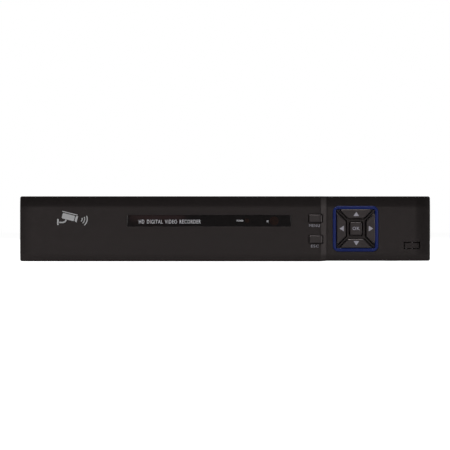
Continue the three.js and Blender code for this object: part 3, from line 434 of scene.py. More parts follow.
def lean(t, slope, curve):
    """How far a band has leaned back at a way t into it."""
    return t * (slope + curve * t) if t > 0 else 0.0


def surface(x, h):
    """y of the front surface: its creases are rounded by averaging over a short way across them."""
    across = sum(proud(x + d) for d in (-0.5, -0.25, 0, 0.25, 0.5)) / 5
    return (
        FRONT
        - across
        + lean(h - (HEIGHT - TOP_BAND), 0.12, 0.0085)
        + lean(BOTTOM_BAND - h, 0.08, 0.02)
        + lean(LEFT_BAND - HALF - x, 0, 0.005)
        + lean(x - (HALF - RIGHT_BAND), 0.08, 0.012)
    )


def spaced(low, high, step):
    n = max(1, round((high - low) / step))
    return [low + (high - low) * i / n for i in range(n + 1)]


BESIDE = (-1.2, -0.6, -0.3, 0, 0.3, 0.6, 1.2)
CREASES = sorted([STEP_X + STEP_WIDTH / 2] + [x + d for x in (STEP_X, STEP_END) for d in BESIDE])
COLUMNS = (
    spaced(-HALF + 1.5, LEFT_BAND - HALF, 1.5)
    + spaced(LEFT_BAND - HALF + 2.5, STEP_X - 2.5, 3.2)
    + CREASES
    + spaced(STEP_END + 2.5, HALF - RIGHT_BAND - 1.5, 2.6)
    + spaced(HALF - RIGHT_BAND, HALF - 1.5, 1.5)
)
ROWS = (
    spaced(1.2, BOTTOM_BAND, 0.85)
    + spaced(BOTTOM_BAND + 2, HEIGHT - TOP_BAND - 1.5, 2.0)
    + spaced(HEIGHT - TOP_BAND, HEIGHT - 1.2, 0.9)
)


def front_outline(inset):
    """The moulded front's outline, which stands a little proud of the steel case behind it."""
    left, right, bottom, top = inset - HALF - 0.12, HALF + 0.4 - inset, inset - 0.35, HEIGHT + 0.2 - inset
    raised = bottom + RIGHT_RAISE
    corners = [(left, bottom), (STEP_X, bottom), (STEP_END, raised), (right, raised), (right, top), (left, top)]
    corner = max(1.4 - inset, 0.4)
    return rounded(corners, [corner, 4, 4, corner, corner, corner], 6, [90, 3, 32, 20, 125, 20])


def window_loop(inset=0.0):
    w, t = WINDOW["w"] - 2 * inset, WINDOW["t"] - 2 * inset
    return rounded_rect(WINDOW["x"], WINDOW["h"], w, t, 0.5, 3, 50, 4)


def window_face(x, h):
    return surface(x, h) + WINDOW["sunk"]


def led_loop():
    return rounded_rect(LED["x"], LED["h"], LED["size"], LED["size"], 0.4, 3)


def infrared_loop():
    return circle(INFRARED["x"], INFRARED["h"], INFRARED["r"], 28)


def side_key_loop(place, grow=0.0):
    return rounded_rect(*place, 10.4 + 2 * grow, 5.9 + 2 * grow, 0.5 + grow, 4, 12, 6)


def ring_loop(t):
    """From the light ring's outer edge, at t 0, to its inner edge, at t 1."""
    w, tall, r = RING["w"] - 4.9 * t, RING["t"] - 5.0 * t, RING["r"] - 3.5 * t
    return rounded_rect(RING["x"], RING["h"], w, tall, r, 8, 20, 20)


def pad_opening():
    """The opening of the moulded front round the light ring."""
    w, tall, r = RING["w"] + GAP, RING["t"] + GAP, RING["r"] + GAP / 2
    return rounded_rect(RING["x"], RING["h"], w, tall, r, 8, 20, 20)


def usb_loops(narrow=0.0):
    """The two halves of the knock-out's groove, which leave a bridge above and below."""
    u = USB_BLANK
    w, t, g, tab = u["w"] / 2 - narrow, u["t"] / 2 - narrow, u["groove"] - 2 * narrow, u["tab"] / 2 + narrow
    right = [(tab, -t), (w, -t), (w, t), (tab, t), (tab, t - g), (w - g, t - g), (w - g, g - t), (tab, g - t)]
    left = [(-x, z) for x, z in reversed(right)]
    radius = 0.2 - narrow / 2
    return [rounded([(u["x"] + x, u["h"] + z) for x, z in side], radius, 3, 3) for side in (right, left)]


def bezel():
    """The front face, the floor of the window's pocket and the back face, joined round every edge."""
    part = Part()
    window, led, infrared = window_loop(), led_loop(), infrared_loop()
    openings = [(side_key_loop(p, 0.5), 0.3) for p in SIDE_KEYS.values()] + [(pad_opening(), 0.2)]
    grooves = [(u, 0) for u in usb_loops()]
    front = fill(front_outline(0), [(window, 0.1)] + openings + grooves, 0.16, COLUMNS, ROWS)
    edges = part.cover(front, surface)
    sights = [(led, 0), (infrared, 0)]
    pocket_floor = fill(window, sights, 0, spaced(-70, 50, 8), [WINDOW["h"]])
    pocket = part.cover(pocket_floor, lambda x, h: surface(x, h) + WINDOW["pocket"])
    slits = [(u, 0) for u in usb_loops(0.32)]
    holes = sights + [(loop, 0) for loop, r in openings] + slits
    inner_face = fill(front_outline(SIDE_WALL), holes, 0, COLUMNS[::3], ROWS[::3], 1.5)
    back = part.cover(inner_face, lambda x, h: surface(x, h) + WALL)
    rim_outer = part.loop([(x, RIM, h + LIFT) for x, h in front_outline(0)])
    rim_inner = part.loop([(x, RIM, h + LIFT) for x, h in front_outline(SIDE_WALL)])
    part.strip(edges[0], rim_outer)
    part.strip(rim_outer, rim_inner)
    part.strip(rim_inner, back[0])
    part.strip(edges[1], pocket[0])
    for a, b in zip(pocket[1:] + edges[2:], back[1:]):
        part.strip(a, b)
    bosses_and_hooks(part)
    part.make("bezel_shell", [MOULDED], "case", ["front_bezel"], smooth=38)


def window():
    """The smoked strip, with its filter over the lamp and the receiver in a second material."""
    part = Part()
    marks = [led_loop(), infrared_loop()]
    front = fill(window_loop(GAP), [], 0.07, spaced(-76, 50, 3), spaced(28.4, 35, 1.6), 0.4, marks)
    edges = part.cover(front, window_face)
    middles = centres(*front[:2])
    part.slots = [int(through) for through in inside(middles, marks[0]) | inside(middles, marks[1])]
    back = fill(window_loop(GAP), [], 0, spaced(-70, 50, 8), [WINDOW["h"]])
    back_edges = part.cover(back, lambda x, h: window_face(x, h) + WINDOW["lens"])
    part.strip(edges[0], back_edges[0])
    part.make("smoked_window", [GLASSY, AMBER], "case", ["display_window"], smooth=38)


def bosses_and_hooks(part):
    """Behind the front, four bosses for the control board and four hooks for the case."""
    board, radius = FRONT + 13.2, 2.6
    for x, h in ((8, 7), (8, 43), (129, 7), (129, 43)):
        root = surface(x, h) + 1.5
        part.lathe([(0, root), (radius, root), (radius, board), (0, board)], at(x, h + LIFT), 16)
    half_width, half_height = 4, 0.8
    for x in (-120, 120):
        for h, wall in ((4.4, 1.4), (45, HEIGHT - 1)):
            left, right, low, high = x - half_width, x + half_width, h - half_height, h + half_height
            part.box(left, right, RIM - 2.8, RIM - 0.4, min(low, wall) + LIFT, max(high, wall) + LIFT)
            part.box(left, right, RIM - 1, RIM + 3.7, low + LIFT, high + LIFT)


# ---- navigation pad
def light_ring():
    """A closed section swept round the ring: (t across the band, depth behind the front)."""
    section = [
        (-0.54, RING_DEPTH), (-0.54, 3.5), (0.0, 3.5), (0.0, 0.1), (0.04, -0.14), (0.12, -0.28), (0.2, -0.33),
        (0.3, -0.27), (0.46, -0.2), (0.62, -0.27), (0.72, -0.33), (0.8, -0.26), (0.88, -0.1), (0.92, 0.15),
        (0.92, RING_DEPTH),
    ]
    part = Part()
    rings = [part.loop([(x, FRONT + d, h + LIFT) for x, h in ring_loop(t)]) for t, d in section]
    for a, b in zip(rings, rings[1:] + rings[:1]):
        part.strip(a, b)
    part.make("blue_ring", [BLUE], "case", ["light_ring"], smooth=50)


def capped(part, loop, face, back, radius, step=1.3):
    """A solid whose front is face, with its edge bevelled, and whose back is flat."""
    xs, hs = [p[0] for p in loop], [p[1] for p in loop]
    columns = sorted(spaced(min(xs) + 1, max(xs) - 1, step) + [c for c in CREASES if min(xs) < c < max(xs)])
    rows = spaced(min(hs) + 1, max(hs) - 1, step)
    edges = part.cover(fill(loop, [], radius, columns, rows, 0.3, bevelled=True), face)
    rear = part.loop([(x, back, h + LIFT) for x, h in loop])
    part.strip(edges[0], rear)
    part.skin([tuple(rear)])


def turned(points, quarters, x0=PAD_X, h0=PAD_H):
    """The points, given round the origin, turned left by so many quarters round (x0, h0)."""
    c, s = ((1, 0), (0, 1), (-1, 0), (0, -1))[quarters]
    return [(x0 + a * c - b * s, h0 + a * s + b * c) for a, b in points]


def crowned(x0, h0, reach, rise):
    """A key's face, which rises a little towards (x0, h0)."""

    def face(x, h):
        away = ((x - x0) ** 2 + (h - h0) ** 2) / reach**2
        return FRONT - KEY_PROUD - rise * max(0.0, 1 - away)

    return face


def outer_key_face(quarters):
    return crowned(*turned([(0, KEY_REACH)], quarters)[0], 15, 0.16)


def side_key_face(x, h):
    return surface(x, h) - KEY_PROUD


OK_FACE = crowned(PAD_X, PAD_H, 8, 0.25)


def outer_key_loop(inner, outer, off, radii, quarters):
    """A key between the pad's diagonals, from inner to outer away from the pad's middle."""
    corners = [(off - inner, inner), (inner - off, inner), (outer - off, outer), (off - outer, outer)]
    return rounded(turned(corners, quarters), radii, 4, [8, 6, 14, 6])


def key(name, loop, face, radius, flange, post, seat=KEY_BACK - 1, back=KEY_BACK, step=1.3):
    """A cap that ends at seat, a flange that holds it in from behind, and a post that reaches its switch."""
    part = Part()
    capped(part, loop, face, FRONT + seat, radius, step)
    part.prism([(x, h + LIFT) for x, h in flange], FRONT + back - 1, FRONT + back)
    x, h = post
    part.prism(circle(x, h + LIFT, POST_RADIUS, 20), FRONT + back - 0.5, POST_END)
    part.make(f"{name}_cap", [CAPS], f"{name}_key", [f"key_{name}"], smooth=40)


def keys():
    for quarters, name in enumerate(OUTER_KEYS):
        loop = outer_key_loop(8.15, 15.35, 1.95, [1.5, 1.5, 0.9, 0.9], quarters)
        flange = outer_key_loop(7.35, 15.35, 0.95, 0.3, quarters)
        post = turned([(0, KEY_REACH + 0.3)], quarters)[0]
        key(name, loop, outer_key_face(quarters), 0.75, flange, post)
    loop = rounded_rect(PAD_X, PAD_H, 9.6, 10.4, 1.3, 6, 6, 6)
    flange = rounded_rect(PAD_X, PAD_H, 12.2, 13, 1.2)
    key("ok", loop, OK_FACE, 0.7, flange, (PAD_X, PAD_H))
    for name, place in SIDE_KEYS.items():
        flange = rounded_rect(*place, 12.4, 7.9, 0.5)
        key(name, side_key_loop(place), side_key_face, 0.45, flange, place, 2, 2.9, 1.0)


def pad_frame():
    """The surround of the OK key with an arm to each corner of the ring."""
    side, top, end, cut = 7.15, 7.55, 15.4, 0.92
    upper = mirrored([(side, side - cut), (end, end - cut), (end - cut, end), (top - cut, top)])
    corners = upper + [(-x, -z) for x, z in upper]
    outer = rounded([(PAD_X + x, PAD_H + z) for x, z in corners], [0.9, 0.3, 0.3, 0.9] * 4, 4, 5)
    hole = rounded_rect(PAD_X, PAD_H, 11, 11.8, 1.6, 6, 6, 6)
    part = Part()
    edges = part.cover(fill(outer, [(hole, 0.25)], 0.25), lambda x, h: FRONT + 0.4)
    back_edges = part.cover(fill(outer, [(hole, 0)]), lambda x, h: FRONT + FRAME_BACK)
    for a, b in zip(edges, back_edges):
        part.strip(a, b)
    part.make("pad_surround", [MOULDED], "case", ["keypad_frame"], smooth=40)


# ---- printed marks
def printed(name, loops, face, ink, body):
    """Flat marks, each a loop in (x, height), as a thin layer of ink on a face."""
    part = Part()
    for loop in loops:
        mark = fill(loop)
        over = part.cover(mark, lambda x, h: face(x, h) - INK_OVER)
        under = part.cover(mark, lambda x, h: face(x, h) + INK_UNDER)
        part.strip(over[0], under[0])
    part.make(name, [ink], body, smooth=30)


def lettering(name, text, box, face, ink, body, slot, bold=0.0, backwards=False, spacing=(1.0, 1.0)):
    """Text fitted to a box (x0, x1, h0, h1) on a face. Backwards is for a face seen from behind."""
    x0, x1, h0, h1 = box
    curve = bpy.data.curves.new(name, "FONT")
    curve.body = text
    curve.extrude = 0.5
    curve.offset = bold
    curve.space_character, curve.space_word = spacing
    curve.resolution_u = 5
    source = linked(name + "_source", curve)
    bpy.context.view_layer.update()
    flat = source.evaluated_get(bpy.context.evaluated_depsgraph_get()).to_mesh()
    verts = [v.co.copy() for v in flat.vertices]
    polygons = [tuple(p.vertices) for p in flat.polygons]
    source.to_mesh_clear()
    bpy.data.objects.remove(source)
    bpy.data.curves.remove(curve)
    low = [min(v[k] for v in verts) for k in (0, 1)]
    high = [max(v[k] for v in verts) for k in (0, 1)]
    part = Part()
    placed = []
    for v in verts:
        t = (v.x - low[0]) / (high[0] - low[0])
        x = x1 + (x0 - x1) * t if backwards else x0 + (x1 - x0) * t
        h = h0 + (h1 - h0) * (v.y - low[1]) / (high[1] - low[1])
        out = -INK_OVER if v.z > 0 else INK_UNDER
        placed.append((x, face(x, h) + (-out if backwards else out), h + LIFT))
    part.add(placed, polygons)
    obj = part.make(name, [ink], body, smooth=30)
    face_outwards(obj.data, 1e-7)
    obj.data.set_sharp_from_angle(angle=math.radians(30))


def stroke(points, width):
    """A closed outline round an open line of points."""
    p = [Vector(q) for q in points]
    sides = ([], [])
    for i, q in enumerate(p):
        along = (p[min(i + 1, len(p) - 1)] - p[max(i - 1, 0)]).normalized()
        normal = Vector((-along.y, along.x)) * width / 2
        sides[0].append(q - normal)
        sides[1].append(q + normal)
    return [(q.x, q.y) for q in sides[0] + sides[1][::-1]]


def emblem():
    """A generic camera pictogram: a bracket, a tilted body with its hood and roof, and three waves."""
    cx, ch, tilt = -123.6, 34.6, math.radians(-14)
    c, s = math.cos(tilt), math.sin(tilt)
    body = rounded([(-5.6, -2.2), (4.4, -2.2), (4.4, 2.2), (-5.6, 2.2)], 0.9, 4)
    hood = rounded([(5.0, -1.9), (6.8, -2.7), (6.8, 2.7), (5.0, 1.9)], 0.3, 3)
    roof = rounded([(-6.4, 2.9), (6.2, 2.9), (6.2, 3.6), (-6.4, 3.6)], 0.3, 3)
    arm = stroke([(-131.4, 30.4), (-128.6, 30.4), (-126.9, 31.0), (-125.8, 32.6)], 1.2)
    plate = rounded([(-133.1, 28.3), (-131.9, 28.3), (-131.9, 33.2), (-133.1, 33.2)], 0.3, 3)
    tilted = [[(cx + x * c - z * s, ch + x * s + z * c) for x, z in loop] for loop in (body, hood, roof)]
    angles = [math.radians(a) for a in range(-50, 23, 8)]
    arcs = [[(-115.6 + r * math.cos(a), 33.2 + r * math.sin(a)) for a in angles] for r in (2.4, 4.4, 6.4)]
    loops = tilted + [arm, plate] + [stroke(arc, 0.75) for arc in arcs]
    printed("camera_pictogram", loops, surface, SILVER_INK, "case")


def front_marks():
    on_window = (window_face, INK, "case", "window_acrylic")
    on_panel = (surface, PALE_INK, "case", "bezel_plastic")
    on_ok_key = (OK_FACE, PALE_INK, "ok_key", "key_plastic")
    title_box = (-68.2, -19.2, 29.5, 32.6)
    lettering("title", "HD DIGITAL VIDEO RECORDER", title_box, *on_window, 0.008, spacing=(1.2, 1.5))
    lettering("power_label", "POWER", (9.3, 14.6, 31.1, 32.5), *on_window, 0.02)
    lettering("infrared_label", "IR", (33.1, 34.7, 30.5, 32.1), *on_window, 0.02)
    lettering("menu_label", "MENU", (66.6, 75.0, 26.9, 29.0), *on_panel, spacing=(1.15, 1.0))
    lettering("esc_label", "ESC", (68.1, 74.2, 10.7, 12.8), *on_panel, spacing=(1.15, 1.0))
    lettering("ok_mark", "OK", (101.1, 106.9, 24.4, 27.0), *on_ok_key, 0.02, spacing=(1.15, 1.0))
    for quarters, name in enumerate(OUTER_KEYS):
        tip = rounded(turned([(-2.25, 9.9), (2.25, 9.9), (0, 13.3)], quarters, ARROWS_X, ARROWS_H), 0.15, 2)
        printed(f"{name}_arrow", [tip], outer_key_face(quarters), PALE_INK, f"{name}_key")


# ---- rear sockets
def coax(name, x, z, upper):
    """A bayonet socket: plastic body, ribbed shell, insulator, contact sleeve, washer, nut and two lugs."""
    part = Part()
    half, front = 7.25, 101
    if upper:
        part.box(x - half, x + half, front - 1, BEHIND_PANEL, z - half, z + half, 2)
        part.box(x - half, x + half, 87.5, front - 0.3, BOARD_TOP, z + half, 2)
    else:
        part.box(x - half, x + half, front, BEHIND_PANEL, BOARD_TOP, z + half, 2)
    root, floor = BEHIND_PANEL - 1, REAR + 1.5
    shell = [
        (0, root), (4.7, root), (4.7, REAR + 2.8), (5.6, REAR + 3.0), (5.6, REAR + 3.8), (4.75, REAR + 4.1),
        (4.75, TIP - 1.6), (4.55, TIP - 1.4), (4.55, TIP - 1.1), (4.8, TIP - 0.9), (4.8, TIP - 0.2),
        (4.6, TIP), (4.15, TIP), (4.05, TIP - 0.15), (4.05, floor), (0, floor),
    ]
    insulator = [
        (0, floor - 0.1), (2.35, floor - 0.1), (2.35, TIP - 1.7), (2.2, TIP - 1.5), (1.15, TIP - 1.5),
        (1.15, TIP - 6), (0, TIP - 6),
    ]
    sleeve = [(0.6, TIP - 5.9), (1.05, TIP - 5.9), (1.05, TIP - 1.9), (0.95, TIP - 1.8), (0.6, TIP - 1.8)]
    washer = [(0, REAR + 0.02), (6.9, REAR + 0.02), (6.9, REAR + 0.28), (0, REAR + 0.28)]
    part.lathe(shell, at(x, z), 40)
    part.lathe(insulator, at(x, z), 24, 1)
    part.lathe(sleeve, at(x, z), 16, 3)
    part.lathe(washer, at(x, z), 32)
    part.prism(circle(x, z, 7.1, 6), REAR + GAP, REAR + GAP + 2.3)
    for side in (-1, 1):
        lug = at(x, z + side * (4.8 - 0.3), TIP - 3.2) @ Matrix.Rotation(math.radians(90 * side), 4, "X")
        part.lathe([(0, 0), (1.0, 0), (1.0, 1.1), (0.85, 1.3), (0, 1.3)], lug, 14)
    looks = [NICKEL, IVORY, BLACK_PART, GOLD]
    part.make(name + "_detail", looks, "case", [name], bevel=0.12)


def phono_block():
    """Six sockets in a block, the upper three with red collars and insulators, the lower with white."""
    part = Part()
    xs, rows = (41.5, 55.0, 68.5), ((18.5, 3), (32.5, 2))
    edge = 7
    part.box(xs[0] - edge, xs[-1] + edge, 100, BEHIND_PANEL, BOARD_TOP, rows[-1][0] + edge, 1)
    root, end = BEHIND_PANEL - 1, REAR + 9
    collar = [(0, root), (4.55, root), (4.55, REAR + 1.4), (4.35, REAR + 1.6), (0, REAR + 1.6)]
    shell = [
        (0, REAR + 1.5), (4.15, REAR + 1.5), (4.15, end - 0.3), (3.9, end), (3.5, end), (3.3, end - 0.2),
        (3.3, REAR + 3), (0, REAR + 3),
    ]
    insulator = [
        (0, REAR + 2.9), (3.28, REAR + 2.9), (3.28, end - 0.9), (1.75, end - 0.9),
        (1.75, REAR + 3.4), (0, REAR + 3.4),
    ]
    for x in xs:
        for z, color_slot in rows:
            part.lathe(collar, at(x, z), 28, color_slot)
            part.lathe(shell, at(x, z), 32)
            part.lathe(insulator, at(x, z), 24, color_slot)
    looks = [NICKEL, BLACK_PART, RED_PART, WHITE_PART]
    part.make("phono_detail", looks, "case", ["phono_socket_block"], bevel=0.12)


def d_loop(cx, cz, grow):
    """The outline of a D-shaped connector, wider at the top."""
    top, bottom, half = 8.3 + grow, 7.2 + grow, 4 + grow
    return rounded(mirrored([(bottom, -half), (top, half)], cx, cz), 1.6 + grow, 5, 4)


def vga():
    """The D-shaped connector with its blue insert, three rows of holes and two threaded posts."""
    part = Part()
    x, z = 12.0, 18.2
    part.box(x - 15.4, x + 15.4, 112.8, BEHIND_PANEL, z - 6.25, z + 6.25)
    part.box(x - 14, x + 14, 99, 112.9, BOARD_TOP, z + 5.6, 1)
    part.pocket(d_loop(x, z, 0), d_loop(x, z, -0.45), BEHIND_PANEL - 1, REAR + 5.5, REAR + 0.5)
    part.prism(d_loop(x, z, -0.7), REAR + 0.4, REAR + 4.6, 2)
    for dz, shift in ((2.0, 0.0), (0.0, 1.15), (-2.0, 0.0)):
        for i in range(5):
            part.prism(circle(x + (i - 2) * 2.29 + shift - 0.4, z + dz, 0.5, 10), REAR + 4.5, REAR + 4.64, 1)
    for side in (-12.5, 12.5):
        post, thread = circle(x + side, z, 2.8, 12), circle(x + side, z, 1.3, 12)
        part.pocket(post, thread, BEHIND_PANEL - 1, REAR + 4.4, REAR + 1)
    looks = [NICKEL, BLACK_PART, PORT_BLUE]
    part.make("vga_detail", looks, "case", ["vga_port"], bevel=0.15)


def contacts(part, count, left, pitch, width, y0, y1, z0, z1):
    """A row of contacts in the part's third material."""
    for i in range(count):
        part.box(left + i * pitch, left + i * pitch + width, y0, y1, z0, z1, 2)


def hdmi():
    """A shell with slanting lower corners round a tongue with its contacts."""
    part = Part()
    x, z, w, t = -18.0, 14.9, 7.5, 2.95

    def loop(inset):
        side, corner = w - inset, 2.2 + 0.3 * inset
        half = [(w - corner, inset - t), (side, corner - t), (side, t - inset)]
        return rounded(mirrored(half, x, z), 0.4, 3)

    part.pocket(loop(0), loop(0.5), 105.5, PORT_FACE, 108.5, 1)
    part.box(x - 5.8, x + 5.8, 108.3, PORT_FACE - 1, z + 0.1, z + 1.1, 1)
    contacts(part, 10, x - 5.2, 1.1, 0.4, 110, PORT_FACE - 1.3, z, z + 0.14)
    part.box(x - 6.6, x + 6.6, 106, 111, BOARD_TOP, z - t + 0.2)
    looks = [NICKEL, BLACK_PART, GOLD]
    part.make("hdmi_detail", looks, "case", ["hdmi_port"], bevel=0.12)


def network():
    """A shielded jack with eight contacts at its floor and two lamps above the opening."""
    part = Part()
    x, base = -42.0, BOARD_TOP
    outer = mirrored([(3, 0), (4, 0), (8, 0), (8, 13.4), (3, 13.4)], x, base)
    inner = mirrored([(3, 1.2), (4, 1.2), (5.9, 1.2), (5.9, 9.4), (3, 11.2)], x, base)
    part.pocket(outer, inner, PORT_FACE - 21, PORT_FACE, PORT_FACE - 13, 1)
    contacts(part, 8, x - 3.8, 1.02, 0.4, PORT_FACE - 12.5, PORT_FACE - 3, base + 1.5, base + 1.8)
    for middle, color_slot in ((x - 6.4, 3), (x + 6.4, 4)):
        low, high = base + 10.3, base + 12.2
        part.box(middle - 1.1, middle + 1.1, PORT_FACE - 1, PORT_FACE + 0.12, low, high, color_slot)
    looks = [NICKEL, BLACK_PART, GOLD, AMBER_LAMP, GREEN_LAMP]
    part.make("network_detail", looks, "case", ["lan_port"], bevel=0.15)


def usb():
    """Two stacked sockets, each a shell round a tongue with four contacts."""
    part = Part()
    x, base = -64.0, BOARD_TOP
    for z in (base + 4, base + 11.6):
        outer = rounded_rect(x, z, 14.6, 7.5, 0.5, 2)
        inner = rounded_rect(x, z, 12.6, 5.2, 0.3, 2)
        part.pocket(outer, inner, PORT_FACE - 17, PORT_FACE, PORT_FACE - 11, 1)
        part.box(x - 5.4, x + 5.4, PORT_FACE - 11.2, PORT_FACE - 1, z - 0.2, z + 1.6, 1)
        contacts(part, 4, x - 4.1, 2.4, 1, PORT_FACE - 9, PORT_FACE - 1.6, z - 0.34, z - 0.15)
    looks = [NICKEL, BLACK_PART, GOLD]
    part.make("usb_detail", looks, "case", ["usb_ports"], bevel=0.12)


def power_inlet():
    """A round inlet in a square body, with its centre pin."""
    part = Part()
    x, base = -84.0, BOARD_TOP
    z = base + 6
    outer = rounded_rect(x, base + 5.5, 9, 11, 0.8, 5)
    inner = circle(x, z, 3.2, len(outer), math.pi * 1.25)
    part.pocket(outer, inner, PORT_FACE - 14, PORT_FACE, PORT_FACE - 10)
    root, end = PORT_FACE - 10.2, PORT_FACE - 1
    part.lathe([(0, root), (1.0, root), (1.0, end - 0.4), (0.7, end), (0, end)], at(x, z), 18, 1)
    looks = [BLACK_PART, NICKEL]
    part.make("power_inlet_detail", looks, "case", ["power_jack"], bevel=0.15)


def rear_face(x, h):
    return REAR


def rear_labels():
    on_rear = (rear_face, INK, "case", "black_steel")
    marks = [
        ("VIDEO IN", 104, 117, 44.4, 46.2), ("AUDIO", 47.5, 62.5, 41.2, 42.9),
        ("VGA", 8.4, 15.6, 26.4, 28.1), ("HDMI", -22.6, -13.4, 21.2, 22.9), ("LAN", -45.4, -38.6, 26.6, 28.3),
        ("USB", -67.4, -60.6, 29.0, 30.7), ("DC 12V", -89.2, -78.8, 24.4, 26.1),
    ]
    for text, x0, x1, z0, z1 in marks:
        name = "label_" + text.replace(" ", "_").lower()
        lettering(name, text, (x0, x1, z0 - LIFT, z1 - LIFT), *on_rear, backwards=True)
    for i, x in enumerate(reversed(COAX_COLUMNS)):
        for number, h in ((2 * i + 1, 26.8 - LIFT), (2 * i + 2, 9.0 - LIFT)):
            half = 0.22 if number == 1 else 0.6
            box = (x - half, x + half, h, h + 1.7)
            lettering(f"label_{number}", str(number), box, *on_rear, backwards=True)


# ---- screws, feet and fan
def cross_recess(r):
    """The outline of a cross recess in a screw's head of radius r."""
    half_width, reach = 0.14 * r, 0.56 * r
    loop = []
    for a in turns(32):
        across, along = sorted((abs(math.cos(a)), abs(math.sin(a))))
        far = min(reach / along, half_width / max(across, 1e-6))
        loop.append((far * math.cos(a), far * math.sin(a)))
    return loop


def screw(part, place, r=2.8, rise=1.7):
    """A pan head with a cross recess, standing along the place's +Y from its seat, and its shank."""
    head = [(r, 0), (r, rise * 0.35), (r * 0.93, rise * 0.62), (r * 0.78, rise * 0.88), (r * 0.64, rise)]
    cross = cross_recess(r)
    levels = [(circle(0, 0, radius), y) for radius, y in head]
    levels += [(cross, rise), ([(x * 0.75, z * 0.75) for x, z in cross], rise * 0.35)]
    loops = [part.loop([place @ Vector((x, y, z)) for x, z in loop]) for loop, y in levels]
    for a, b in zip(loops, loops[1:]):
        part.strip(a, b)
    part.skin([tuple(loops[0]), tuple(loops[-1])])
    part.lathe([(0, -5.3), (0.9, -5.3), (1.25, -4.9), (1.25, 0.1), (0, 0.1)], place, 14)


def cover_screw(side_name, side, end, y):
    part = Part()
    screw(part, at(side * COVER_SCREW_X, 9.6, y) @ Matrix.Rotation(math.radians(-90 * side), 4, "Z"))
    replaced = [f"cover_screw_{side_name}_{end}"]
    part.make(f"screw_{side_name}_{end}", [SCREW], "case", replaced, smooth=40)


def foot(side_name, side, end, y):
    """A rubber foot with a dimple in its sole, turned about the vertical."""
    part = Part()
    profile = [
        (0, 0.9), (2.6, 0.9), (3.0, 0.5), (3.0, 0.25), (3.4, 0.0), (6.4, 0.0), (6.9, 0.12), (7.2, 0.5),
        (7.5, 2.3), (7.5, 2.8), (0, 2.8),
    ]
    part.lathe(profile, at(side * FOOT_X, 0, y) @ Matrix.Rotation(math.radians(90), 4, "X"), 48)
    replaced = [f"foot_{side_name}_{end}"]
    part.make(f"rubber_{side_name}_{end}", [RUBBER], "case", replaced, smooth=40)


def rear_screws():
    part = Part()
    along_top = [(x, 44.5) for x in (-155, -110, -2, 30)]
    for x, z in along_top + [(-100, 8.0), (155, 30), (28, 8.5), (76.5, 26)]:
        screw(part, at(x, z, REAR), 2.5, 1.4)
    for dx in (-16, 16):
        for dz in (-16, 16):
            screw(part, at(FAN_X + dx, FAN_Z + dz, REAR), 2.6, 1.5)
    part.make("rear_screws", [SCREW], "case", smooth=40)


def drive_screws():
    """The screws that hold the drive, from below the tray."""
    part = Part()
    for x, y in ((-136, -91), (-136, -7.4), (-60, -91), (-60, -7.4)):
        screw(part, at(x, DRIVE_SCREW_Z, y) @ Matrix.Rotation(math.radians(-90), 4, "X"), 2.9, 1.1)
    part.make("drive_screws", [SCREW], "case", smooth=40)


def blade(start):
    """A curved fan blade, as the points and faces of a thin slab: n by n points on each of its two sides."""
    n, half_thick = 7, 0.4
    grid = []
    for i in range(n):
        r = HUB_RADIUS + (BLADE_RADIUS - HUB_RADIUS) * i / (n - 1)
        for j in range(n):
            t = j / (n - 1)
            a = start + math.radians(-18 + 34 * t + 10 * i / (n - 1))
            grid.append((r * math.cos(a), 3.0 - 6.0 * t + 0.9 * math.sin(math.pi * t), r * math.sin(a)))
    verts = [(x, y + side * half_thick, z) for side in (1, -1) for x, y, z in grid]
    far = n * n
    faces = []
    for i in range(n - 1):
        for j in range(n - 1):
            a, b, c, d = i * n + j, i * n + j + 1, (i + 1) * n + j + 1, (i + 1) * n + j
            faces += [(a, b, c, d), (far + d, far + c, far + b, far + a)]
    ring = list(range(n)) + [i * n + n - 1 for i in range(1, n)]
    ring += [far - n + j for j in range(n - 2, -1, -1)] + [i * n for i in range(n - 2, 0, -1)]
    faces += [(a, b, far + b, far + a) for a, b in zip(ring, ring[1:] + ring[:1])]
    return verts, faces


def fan():
    part = Part()
    place = at(FAN_X, FAN_Z, FAN_Y)
    part.lathe([(0, -3.6), (8.4, -3.6), (9.0, -3.0), (9.0, 3.1), (8.6, 3.6), (0, 3.7)], place, 40)
    for start in turns(BLADES):
        part.add(*blade(start), place=place)
    part.make("fan_wheel", [BLACK_PART], "fan", ["fan_rotor"], smooth=45)


# ---- CAD pieces that stay
# Each has its material and the width, in mm, of the rounding on its edges.
KEPT = {
    "base_tray": (ZINC, 0.25), "top_cover": (POWDER, 0.3), "rear_panel": (POWDER, 0),
    "control_board": (SOLDER_MASK, 0.15), "main_board": (SOLDER_MASK, 0.2), "heat_sink": (SATIN_METAL, 0.2),
    "hard_drive": (SATIN_METAL, 0.5), "fan_frame": (BLACK_PART, 0.3), "drive_cable": (SHEATH, 0.2),
    "panel_cable": (RIBBON, 0.15), "power_lamp": (CLEAR, 0.15), "infrared_receiver": (BLACK_PART, 0.1),
}
for key_name in (*OUTER_KEYS, "ok", *SIDE_KEYS):
    KEPT["tact_switch_" + key_name] = (TIN, 0.25)
    KEPT["switch_stem_" + key_name] = (BLACK_PART, 0.25)


def keep_cad():
    for name, (mat, width) in KEPT.items():
        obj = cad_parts[name]
        obj.data.materials.clear()
        obj.data.materials.append(mat)
        weld = obj.modifiers.new("weld", "WELD")
        weld.merge_threshold = 0.00001
        flat = obj.modifiers.new("flats", "DECIMATE")
        flat.decimate_type, flat.angle_limit = "DISSOLVE", math.radians(0.5)
        if width:
            soften(obj, width)
            obj.data.shade_smooth()
        else:
            obj.data.shade_flat()


